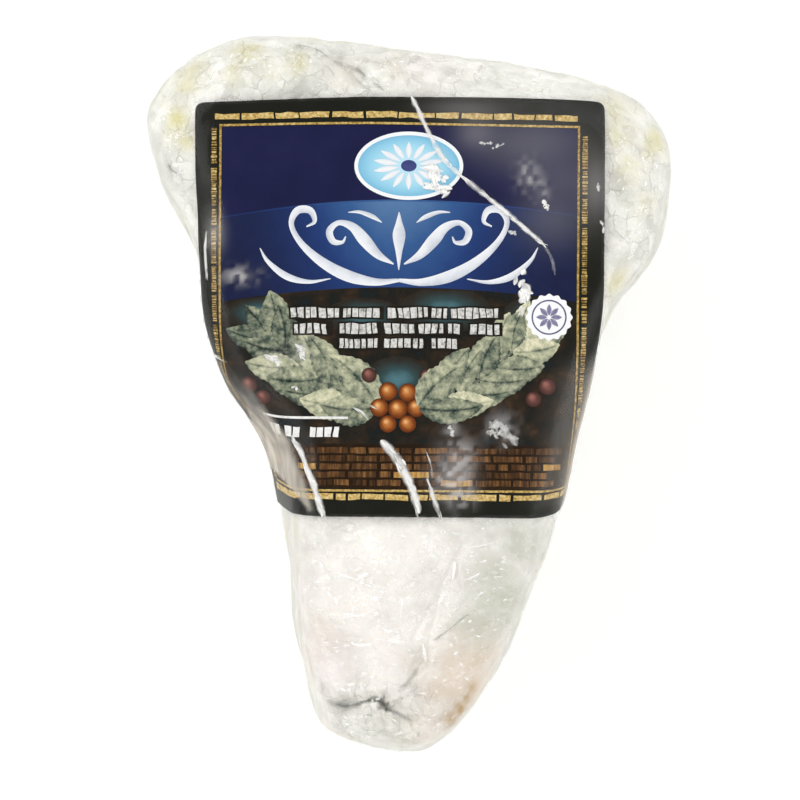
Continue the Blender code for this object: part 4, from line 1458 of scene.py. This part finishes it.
def make_seal():
    """Plain white seal with a lobed edge, one thin ring and a small rosette."""
    middle_u, middle_v = SEAL_MIDDLE
    u, v, way = disc(SEAL_MIDDLE, (SEAL_RADIUS, SEAL_RADIUS), 31)
    lobes = 1.0 + 0.045 * np.cos(SEAL_LOBES * np.arctan2(v - middle_v, u - middle_u)) * way**3
    u = middle_u + (u - middle_u) * lobes
    v = middle_v + (v - middle_v) * lobes
    print_layer("white_seal", [(u, v, 0.85)], "seal_white_ink", SHADE_LIFT)
    turn = np.linspace(0.0, 2.0 * np.pi, 49)
    ring = np.array(SEAL_MIDDLE) + SEAL_RING_RADIUS * np.stack((np.cos(turn), np.sin(turn)), axis=1)
    u, v, _ = strip(ring, 0.13)
    marks = [(u, v, 0.1)]
    for u, v, across in rosette(SEAL_MIDDLE, 8, 0.35, 2.2, 0.42):
        marks.append((u, v, 0.25 + 0.3 * np.abs(across)))
    print_layer("seal_marks", marks, "violet_ink", SHADE_LIFT + 0.6 * OVER_PRINT)


# Rows of bars where a label has its words: left, right, middle height, height of a bar.
TITLE_ROWS = ((-18.6, 18.8, -1.0, 1.7), (-18.0, 17.7, -3.75, 1.7), (-10.2, 10.1, -6.3, 1.6))
WEIGHT_ROW = ((-23.6, -7.2, -21.65, 1.8),)
WEIGHT_LINE = (-24.4, -8.6, -19.42, -18.98)  # left, right, lower and upper edge
PANEL_ROWS = tuple((-29.6, 28.6, height, 1.0) for height in (-24.8, -26.2, -27.6, -29.0, -30.4))
ROW_SHADE = 0.30  # how far a bar's dark surround stands out past it
BLOCK_WOBBLE = 0.16  # how far the blocks' edges stray


def bars_in_rows(rows, longest, gap, seed):
    """Corners of bars of random length that fill each row."""
    draw = np.random.default_rng(seed)
    bars = []
    for left, right, middle, height in rows:
        low = middle - 0.5 * height
        high = middle + 0.5 * height
        bars += [(start, end, low, high) for start, end in broken_row(draw, left, right, longest, gap)]
    return bars


def bar_patches(bars, tones, wobble, margin=0.0):
    """Bars as grids, each grown by a margin and given its tone."""
    patches = []
    for (start, end, low, high), tone in zip(bars, np.broadcast_to(tones, len(bars))):
        box = ragged_box(start - margin, end + margin, low - margin, high + margin, 0.4, wobble)
        patches.append((*box, tone))
    return patches


def blocks_in(bars, longest, gap, seed):
    """Bars cut up into short blocks."""
    draw = np.random.default_rng(seed)
    blocks = []
    for start, end, low, high in bars:
        row = broken_row(draw, start, end, longest, gap, shortest=0.45)
        blocks += [(first, last, low, high) for first, last in row]
    return blocks


def make_rows():
    """Pale title rows of short upright blocks in groups, each group in a dark surround. Below them
    a white row under a thin line, and dim tan rows in the panel with a few gold ones among them.
    """
    title = bars_in_rows(TITLE_ROWS, 9.0, 1.0, seed=31)
    print_layer("title_shade", bar_patches(title, 0.3, 0.12, ROW_SHADE), "shade_ink", SHADE_LIFT)
    blocks = blocks_in(title, 1.30, 0.25, seed=35)
    print_layer("title_blocks", bar_patches(blocks, 0.60, BLOCK_WOBBLE), "pale_ink", DASH_LIFT)
    blocks = blocks_in(bars_in_rows(WEIGHT_ROW, 7.0, 1.0, seed=32), 1.6, 0.26, seed=36)
    print_layer("weight_blocks", bar_patches(blocks, 0.66, BLOCK_WOBBLE), "white_row_ink", DASH_LIFT)
    line = between(*WEIGHT_LINE)
    print_layer("weight_line", [(*line, 0.62)], "white_row_ink", DASH_LIFT)
    panel = bars_in_rows(PANEL_ROWS, 6.5, 0.45, seed=33)
    draw = np.random.default_rng(34)
    gold = draw.random(len(panel)) < 0.07
    tones = np.where(gold, 0.85, draw.uniform(0.26, 0.56, len(panel)))
    print_layer("panel_bars", bar_patches(panel, tones, 0.10), "tan_ink", GLOW_LIFT)


# ================================ label: generic garland ======================================
# Stem of the garland's right half, from the middle outwards. The left half mirrors it.
STEM = ((2.4, -17.6), (8.4, -15.8), (14.4, -12.2), (19.6, -7.6), (22.4, -4.4))
STEM_HALF_WIDTH = 0.28
STEM_BELOW_LEAVES = 0.008
LEAF_SHARES = (0.06, 0.20, 0.34, 0.48, 0.62, 0.76, 0.90)  # of the stem, where leaves grow in pairs
LEAF_TURN = (0.60, 0.90)  # away from the stem, in radians
LOWEST_TURN = -0.06  # leaves by the panel lie level
LEAF_LENGTH = (9.5, 12.5)
LEAF_HALF_WIDTH = (2.2, 3.1)
LEAF_TEETH = 9
TOOTH_DEPTH = 0.05  # as a share of the half width
LEAF_VEINS = 7
VEIN_SLANT = 0.16
VEIN_SHADE = 0.10
RIB_SHADE = 0.30
RIB_WIDTH = 0.10  # as a share of the half width
FAR_HALF_SHADE = 0.08  # one half of a leaf is this much lighter, the other darker
LEAF_EDGE_SHADE = 0.10
LEAF_TONE = (0.34, 0.78)
# Berries: u, v, radius.
AMBER_BERRIES = (
    (-1.7, -14.6, 1.6),
    (1.7, -14.8, 1.6),
    (-3.2, -17.4, 1.6),
    (0.0, -17.6, 1.7),
    (3.2, -17.4, 1.6),
    (-1.7, -20.2, 1.5),
    (1.7, -20.2, 1.5),
)
DARK_BERRIES = (
    (-25.8, -13.6, 1.5),
    (-23.4, -15.8, 1.4),
    (25.8, -13.6, 1.5),
    (23.4, -15.8, 1.4),
    (-5.0, -11.8, 1.3),
    (5.0, -12.0, 1.3),
)
# Teal glows: u, v, and the reach to each side and up and down.
GLOWS = (
    (8.0, -0.5, 8.0, 4.0),
    (-6.0, -1.5, 7.0, 3.0),
    (-24.0, -1.0, 6.0, 3.0),
    (24.0, -1.0, 6.0, 3.0),
    (0.0, -12.5, 6.0, 4.0),
)
PALER_RIGHT = 0.10  # how much paler the right sprig is


def leaf(root, turn, length, half_width, bend):
    """A long toothed leaf: a strip along a slightly bent rib. The tone is lighter on one half,
    with a dark rib and slanting side veins.
    """
    share = np.linspace(0.0, 1.0, 33)
    heading = turn + bend * (share - 0.3)
    step = length / (len(share) - 1) * np.stack((np.cos(heading), np.sin(heading)), axis=1)
    path = np.array(root) + np.cumsum(step, axis=0)
    profile = half_width * np.sin(np.pi * np.clip(share, 0.02, 0.985) ** 0.85) ** 0.8
    profile *= 1.0 + TOOTH_DEPTH * np.cos(2.0 * np.pi * LEAF_TEETH * share)
    u, v, across = strip(path, profile, rows=17)
    veins = np.cos(2.0 * np.pi * LEAF_VEINS * (share[:, None] - VEIN_SLANT * np.abs(across)))
    tone = FAR_HALF_SHADE * across - RIB_SHADE * np.exp(-((across / RIB_WIDTH) ** 2))
    tone = tone - VEIN_SHADE * smooth_step(veins, 0.75, 1.0)
    return u, v, tone - LEAF_EDGE_SHADE * across**4


def make_garland():
    """Printed garland: two sprigs of dusty grey-green leaves that curve up from the middle, with
    round amber and dark berries, on a faint teal glow.
    """
    glows = []
    for middle_u, middle_v, radius_u, radius_v in GLOWS:
        u, v, way = disc((middle_u, middle_v), (radius_u, radius_v), 15)
        keep = np.minimum(v, lower_arc(u) - 0.2)
        glows.append((u, keep, 0.9 * (1.0 - smooth_step(way, 0.0, 1.0))))
    print_layer("teal_glow", glows, "teal_ink", GLOW_LIFT)
    draw = np.random.default_rng(52)
    stem = curve_through(STEM, 12)
    heading = np.unwrap(np.arctan2(*np.gradient(stem, axis=0).T[::-1]))
    stems = []
    leaves = []
    for side in (-1.0, 1.0):
        u, v, _ = strip(stem * np.array((side, 1.0)), STEM_HALF_WIDTH)
        stems.append((u, v, 0.3))
        places = [(share, flank) for share in LEAF_SHARES[::-1] for flank in (-1.0, 1.0)]
        for share, flank in [(1.0, 0.0)] + places:
            number = int(share * (len(stem) - 1))
            turn = max(heading[number] + flank * draw.uniform(*LEAF_TURN), LOWEST_TURN)
            length = draw.uniform(*LEAF_LENGTH) * (1.0 - 0.35 * share * abs(flank))
            length *= 0.55 if flank == 0.0 else 1.0
            half_width = draw.uniform(*LEAF_HALF_WIDTH) * min(length / LEAF_LENGTH[0], 1.0)
            u, v, tone = leaf(stem[number], turn, length, half_width, -0.5 * flank)
            tone = tone + draw.uniform(*LEAF_TONE) + (PALER_RIGHT if side > 0.0 else 0.0)
            leaves.append((u, v, tone) if side > 0.0 else (-u[:, ::-1], v[:, ::-1], tone[:, ::-1]))
    print_layer("printed_stems", stems, "sage_ink", SHAPE_LIFT - STEM_BELOW_LEAVES)
    print_layer("printed_leaves", leaves, "sage_ink", SHAPE_LIFT, step=LEAF_LIFT_STEP)
    make_berries("amber_berries", AMBER_BERRIES, "amber_ink")
    make_berries("dark_berries", DARK_BERRIES, "plum_ink")


def make_berries(name, places, ink):
    """Round berries, darker towards their edge, each with a small highlight."""
    berries = []
    for middle_u, middle_v, radius in places:
        u, v, way = disc((middle_u, middle_v), (radius, radius), 11)
        shine = np.exp(-(((u - middle_u + 0.4) ** 2 + (v - middle_v - 0.5) ** 2) / (0.4 * radius) ** 2))
        berries.append((u, v, 0.62 - 0.5 * way**2 + 0.4 * shine))
    print_layer(name, berries, ink, BERRY_LIFT)


# ================================ film over the label ===========================================
# Hazy places in the film over the label: u, v, reach across, reach along, and strength.
# The small bright ones near (9, -21), (18, -21), (-22, -9) and (-17, -8) are painted highlights.
HAZE = (
    (23.0, 28.5, 10.0, 5.0, 0.11),
    (26.5, 15.5, 6.0, 5.0, 0.08),
    (28.4, 22.0, 4.0, 3.2, 0.05),
    (11.0, 34.3, 6.5, 1.7, 0.11),
    (13.0, 30.2, 3.2, 2.6, 0.10),
    (9.6, -28.8, 3.2, 4.6, 0.16),
    (34.0, 21.0, 2.4, 5.0, 0.16),
    (-27.4, 5.6, 2.8, 1.4, 0.32),
    (-31.8, 13.0, 1.6, 3.0, 0.22),
    (22.2, 22.8, 1.8, 2.4, 0.26),
    (24.4, 20.2, 1.2, 1.8, 0.24),
    (9.2, -21.0, 1.2, 1.5, 0.22),
    (18.0, -20.8, 2.4, 2.2, 0.25),
    (-21.6, -9.0, 1.8, 1.5, 0.30),
    (-16.8, -7.6, 1.6, 1.8, 0.30),
    (10.8, -25.4, 2.4, 2.4, 0.28),
    (9.0, -29.6, 2.9, 2.2, 0.26),
    (11.0, -32.6, 2.0, 2.2, 0.26),
)
RAGGED_REACH = 3.0  # smaller hazy places than this are ragged, larger ones even
# Veil of glare where the label bends down its left side, as seen from the front: y, left and
# right x. It runs out past the wedge's edge where the label's side has turned out of sight.
LEFT_VEIL = (
    (6.0, -31.6, -30.6),
    (2.2, -30.2, -27.8),
    (-1.3, -28.5, -26.0),
    (-4.7, -27.6, -23.4),
    (-8.2, -28.0, -20.6),
    (-11.7, -27.0, -19.4),
    (-14.3, -22.7, -18.4),
    (-16.9, -20.1, -17.5),
    (-20.0, -17.4, -16.8),
)
LEFT_VEIL_STRENGTH = 0.50
VEIL_FADES = (-9.0, 5.0)  # it thins out upwards between these y
# On the right the glare only thickens towards the edge, between these y.
RIGHT_VEIL_SPAN = (-22.0, -16.0, 2.0, 8.0)
RIGHT_VEIL = ((1.0, 0.42), (4.5, 0.16))  # how far in it reaches, and strength
FILM_SPACING = 0.40
FILM_PAST = 1.4
EDGE_HAZE = (0.35, 0.30, 0.30)  # a hazy line this far past the label's edge: width and strength
FILM_RIPPLE_HEIGHT = 0.05
FILM_RIPPLE_LENGTH = 5.0


def side_veil(points):
    """How white the glare lies on the label's sides, at places on it."""
    x, y = points[:, :2].T
    height, left, right = np.array(LEFT_VEIL[::-1]).T
    from_left = x - np.interp(y, height, left)
    to_right = np.interp(y, height, right) - x
    in_height = smooth_step(y, height[0] - 1.0, height[0]) * (1.0 - smooth_step(y, *VEIL_FADES))
    lines = cloud(points * np.array((1.0, 0.25, 1.0)), 0.9, 2) + cloud(points, 3.0, 1)
    veil = LEFT_VEIL_STRENGTH * in_height * (0.25 + 0.75 * lines)
    veil *= smooth_step(from_left, -0.3, 0.5) * smooth_step(to_right, -0.8, 0.8)
    inward = -outline_distance(x, y)[0]
    low, rising, falling, high = RIGHT_VEIL_SPAN
    in_height = smooth_step(y, low, rising) * (1.0 - smooth_step(y, falling, high)) * (x > 0.0)
    for reach, strength in RIGHT_VEIL:
        veil += strength * in_height * np.exp(-((inward / reach) ** 2))
    return veil


def make_film_over_label():
    """The film where it runs over the label. Past the label's edges it bends down to meet the
    film on the cheese. It is hazy in soft patches and in a thin line round its edge, and some
    small bright patches are painted highlights. Along the label's steep sides it carries a
    painted glare.
    """
    half_u = HALF_WIDTH + FILM_PAST
    half_v = HALF_HEIGHT_OF_LABEL + FILM_PAST
    u, v = between(-half_u, half_u, -half_v, half_v, FILM_SPACING)
    past = np.maximum(np.abs(u) - HALF_WIDTH, np.abs(v) - HALF_HEIGHT_OF_LABEL)
    down = smooth_step(past, 0.0, FILM_PAST)
    flat = flat_points(u, v)
    ragged = 0.4 * cloud(flat, 1.8, 1) + 1.2 * smooth_step(cloud(flat, 0.9, 2), 0.35, 0.7)
    ragged = ragged.reshape(u.shape)
    haze = np.zeros(u.shape)
    for haze_u, haze_v, reach_u, reach_v, strength in HAZE:
        cover = strength * np.exp(-(((u - haze_u) / reach_u) ** 2) - ((v - haze_v) / reach_v) ** 2)
        haze += cover * (ragged if max(reach_u, reach_v) < RAGGED_REACH else 1.0)
    line_past, line_width, strength = EDGE_HAZE
    haze += strength * ragged * np.exp(-(((past - line_past) / line_width) ** 2))
    ripple = FILM_RIPPLE_HEIGHT * waves(flat, FILM_RIPPLE_LENGTH, seed=14).reshape(u.shape)
    lift = (LABEL_FILM_LIFT + ripple * (1.0 - down)) - (LABEL_FILM_LIFT + LABEL_GAP + FILM_DEPTH) * down
    points = label_point(u, v, lift).reshape(-1, 3)
    veil = side_veil(points)
    white = haze.ravel() + veil
    values = {"whiten": np.clip(white, 0.0, 1.0), "tan": veil / (white + 0.02)}
    faces = grid_faces(*u.shape).tolist()
    make_piece("film_over_label", points, faces, shrink_film("film_over_print"), values)


PLEAT_BODY = 0.85  # share of a pleat's whiteness that its body has, round the bright core
# Pleats pressed up in the film over the label, white from stress whitening and a painted
# highlight: points (u, v), half width, whiteness.
LABEL_PLEATS = (
    (LONG_CREASE[:5], 0.50, 0.85),
    (LONG_CREASE[4:], 0.44, 1.0),
    (LONG_CREASE_TAIL, 0.25, 0.12),
    (LEFT_CREASE, 0.60, 1.0),
    (LEFT_CREASE[2:], 0.74, 0.9),
    (MIDDLE_CREASE, 0.84, 1.0),
    (SHORT_CREASE, 0.50, 0.80),
    (((-33.4, 13.0), (-33.6, 9.6), (-33.4, 5.4)), 0.36, 0.80),
    (((-30.6, -9.8), (-32.6, -9.4), (-35.0, -9.6)), 0.32, 0.85),
    (((-7.6, -17.4), (-6.2, -18.2), (-5.0, -19.6)), 0.26, 0.85),
    (((-4.8, -17.0), (-4.3, -17.3), (-3.8, -17.6)), 0.20, 0.85),
    (((5.0, -25.0), (5.8, -27.4), (6.0, -29.6)), 0.18, 0.45),
)
# Ragged splashes of painted highlight where the film has come loose and shines, given in the same way.
SPLASHES = (
    (((5.8, 23.2), (7.0, 21.4), (8.4, 19.2)), 1.20, 1.0),
    (((4.4, 20.9), (6.0, 20.7), (7.4, 20.6)), 0.60, 1.0),
    (((25.0, 18.3), (25.3, 17.8), (25.5, 17.2)), 0.42, 0.9),
    (((21.1, 4.3), (21.6, 2.8), (22.1, 1.0)), 1.15, 1.0),
    (((21.4, 0.2), (21.2, -0.4), (21.0, -1.0)), 0.40, 0.6),
    (((13.6, 28.7), (14.6, 28.4), (15.8, 28.4)), 0.22, 0.6),
    (((16.0, 27.6), (17.0, 27.9), (18.0, 28.3)), 0.25, 0.5),
    (((19.0, 13.1), (19.5, 12.9), (20.1, 12.9)), 0.22, 0.5),
    (((-22.4, -8.6), (-21.6, -9.0), (-20.8, -9.6)), 0.70, 0.80),
    (((-17.2, -6.6), (-16.8, -7.4), (-16.5, -8.6)), 0.65, 0.80),
    (((-18.6, -13.8), (-18.0, -14.0), (-17.4, -14.2)), 0.20, 0.8),
    (((8.8, -20.6), (9.2, -21.2), (9.4, -22.0)), 0.30, 0.45),
    (((16.4, -19.6), (18.0, -20.8), (19.6, -23.0)), 1.05, 0.34),
    (((15.6, -21.4), (16.8, -21.8), (18.2, -21.6)), 0.60, 0.45),
    (((34.9, 15.2), (35.1, 14.2), (35.2, 13.2)), 0.25, 0.7),
    (((34.2, 21.6), (34.3, 21.0), (34.3, 20.4)), 0.22, 0.5),
)


STROKE_ROWS = 9
SPLASH_TURN = 0.7  # spread of the strokes' direction about the line's, in radians
PLEAT_TURN = 0.12
PLEAT_STROKE_LENGTH = (0.7, 2.2)


def crowded_strokes(curve, count, spread, turns, lengths, half_widths, strength, draw):
    """Short strokes crowded along a curve: each starts from a random place on it, shifted by the
    spread, and points along the curve there, turned by a random angle.
    """
    number = draw.integers(0, len(curve), count)
    along = unit(np.gradient(curve, axis=0))[number]
    heading = np.arctan2(along[:, 1], along[:, 0]) + draw.normal(0.0, turns, count)
    start = curve[number] + draw.normal(0.0, spread, (count, 2))
    share = np.linspace(-0.5, 0.5, STROKE_ROWS)[:, None]
    strokes = []
    for place, turn in zip(start, heading):
        way = np.array((np.cos(turn), np.sin(turn)))
        strokes.append((place + share * draw.uniform(*lengths) * way, draw.uniform(*half_widths), strength))
    return strokes


def splash_strokes(line, half_width, strength, draw):
    """A ragged patch of crossing strokes: more of them, and longer ones, where it is wider."""
    size = half_width + 0.4
    curve = curve_through(line, 12)
    count = int(7.0 + 15.0 * half_width)
    spread = 0.45 * half_width
    lengths = (0.6 * size, 1.3 * size)
    half_widths = (0.24 * size, 0.46 * size)
    return crowded_strokes(curve, count, spread, SPLASH_TURN, lengths, half_widths, strength, draw)


def pleat_strokes(line, half_width, strength, draw):
    """The broken bright core of a pleat: strokes drawn out along it."""
    curve = curve_through(line, 24)
    count = int(2.2 * np.hypot(*np.diff(curve, axis=0).T).sum())
    spread = 0.32 * half_width
    lengths = PLEAT_STROKE_LENGTH
    half_widths = (0.20 * half_width, 0.45 * half_width)
    return crowded_strokes(curve, count, spread, PLEAT_TURN, lengths, half_widths, strength, draw)


def make_pleats():
    """Pleats and splashes in the film over the label: stress whitening and painted highlights."""
    draw = np.random.default_rng(61)
    lines = []
    for line, half, white in LABEL_PLEATS:
        lines.append((curve_through(line, 24), half, PLEAT_BODY * white))
        lines += pleat_strokes(line, half, white, draw)
    for line, half, white in SPLASHES:
        lines += splash_strokes(line, half, white, draw)
    points, faces, cover = raised_strips(lines, label_point, PLEAT_LIFT, PLEAT_RIDGE)
    values = {"whiten": cover}
    make_piece("label_pleats_and_highlights", points, faces, shrink_film("pleat_highlight_film"), values)


# ================================ studio =======================================================
CAMERA_DISTANCE = 0.800  # from the lens down to where the wedge is widest
PICTURE_SIZE = 800
PICTURE_SCALE = 0.18 * MM  # size of one of the picture's points where the wedge is widest
CAMERA_AIM = (-1.35 * MM, -1.26 * MM)
SENSOR = 36.0
FLOOR_HALF = 3.0
FLOOR_GLOW = 0.16
SURROUNDINGS = 1.34
SOFT_BOX_SIZE = 1.20
# Soft boxes: name, place in metres, and power.
SOFT_BOXES = (
    ("key_left", (-0.75, 0.45, 0.70), 4.6),
    ("key_right", (0.75, 0.25, 0.70), 2.2),
    ("low_fill", (0.10, -0.90, 0.60), 2.2),
)


def make_camera():
    """Straight above the label, through a long lens."""
    data = bpy.data.cameras.new("camera")
    data.sensor_width = SENSOR
    data.lens = SENSOR * CAMERA_DISTANCE / (PICTURE_SIZE * PICTURE_SCALE)
    data.clip_start = 0.01
    camera = put_in_scene("camera", data)
    camera.location = (*CAMERA_AIM, CAMERA_DISTANCE + WIDEST_HEIGHT * MM)
    bpy.context.scene.camera = camera


def make_floor():
    """Light table of white opal acrylic, far larger than the wedge: it glows a little from below,
    which keeps it white right up to the wedge.
    """
    mesh = bpy.data.meshes.new("floor")
    corners = [(-1, -1, 0), (1, -1, 0), (1, 1, 0), (-1, 1, 0)]
    mesh.from_pydata([(FLOOR_HALF * x, FLOOR_HALF * y, z) for x, y, z in corners], [], [(0, 1, 2, 3)])
    material, tree = new_material("opal_acrylic")
    place = add(tree, "TexCoord", out=3)
    cloudy = add(tree, "TexNoise", Vector=place, Scale=1.0 / (40.0 * MM))
    colour = add(tree, "ValToRGB", cloudy, stops=((0.0, "#F8F8F7"), (1.0, "#FBFBFA")))
    glow = {"Emission_Color": "#FFFFFF", "Emission_Strength": FLOOR_GLOW}
    add(tree, "OutputMaterial", add(tree, "BsdfPrincipled", Base_Color=colour, Roughness=0.9, **glow))
    mesh.materials.append(material)
    floor = put_in_scene("floor", mesh)


def make_light(name, place, power):
    """A square soft box at a place in metres, turned to the wedge."""
    data = bpy.data.lights.new(name, "AREA")
    data.shape = "SQUARE"
    data.size = SOFT_BOX_SIZE
    data.energy = power
    light = put_in_scene(name, data)
    x, y, z = place
    light.location = place
    light.rotation_euler = (float(np.arctan2(np.hypot(x, y), z)), 0.0, float(np.arctan2(x, -y)))


def make_world():
    """Even pale surroundings, dimmer near the floor, which gives the wedge soft grey sides, and
    dimmer overhead, so that film lying flat shows little glare.
    """
    world = bpy.data.worlds.new("studio")
    world.use_nodes = True
    tree = world.node_tree
    tree.nodes.clear()
    direction = add(tree, "TexCoord", out=0)
    height = add(tree, "SeparateXYZ", direction, out=2)
    stops = ((0.0, "#5A5A5A"), (0.42, "#E8E8E8"), (0.72, "#FFFFFF"), (0.94, "#484848"))
    colour = add(tree, "ValToRGB", height, stops=stops)
    add(tree, "OutputWorld", add(tree, "Background", Color=colour, Strength=SURROUNDINGS))
    bpy.context.scene.world = world


def make_studio():
    """Camera, floor, soft boxes on three sides and even surroundings."""
    make_camera()
    make_floor()
    make_world()
    for name, place, power in SOFT_BOXES:
        make_light(name, place, power)
    scene = bpy.context.scene
    scene.view_settings.view_transform = "Standard"
    scene.view_settings.look = "None"


wedge_points, wedge_normals = wedge_grid()
make_cheese(wedge_points, wedge_normals)
make_mould_and_crease_shade_lines()
make_film(wedge_points, wedge_normals)
make_film_glints()
make_paper()
make_fields()
make_gold_frame()
make_scroll()
make_badge()
make_seal()
make_rows()
make_garland()
make_film_over_label()
make_pleats()
make_studio()
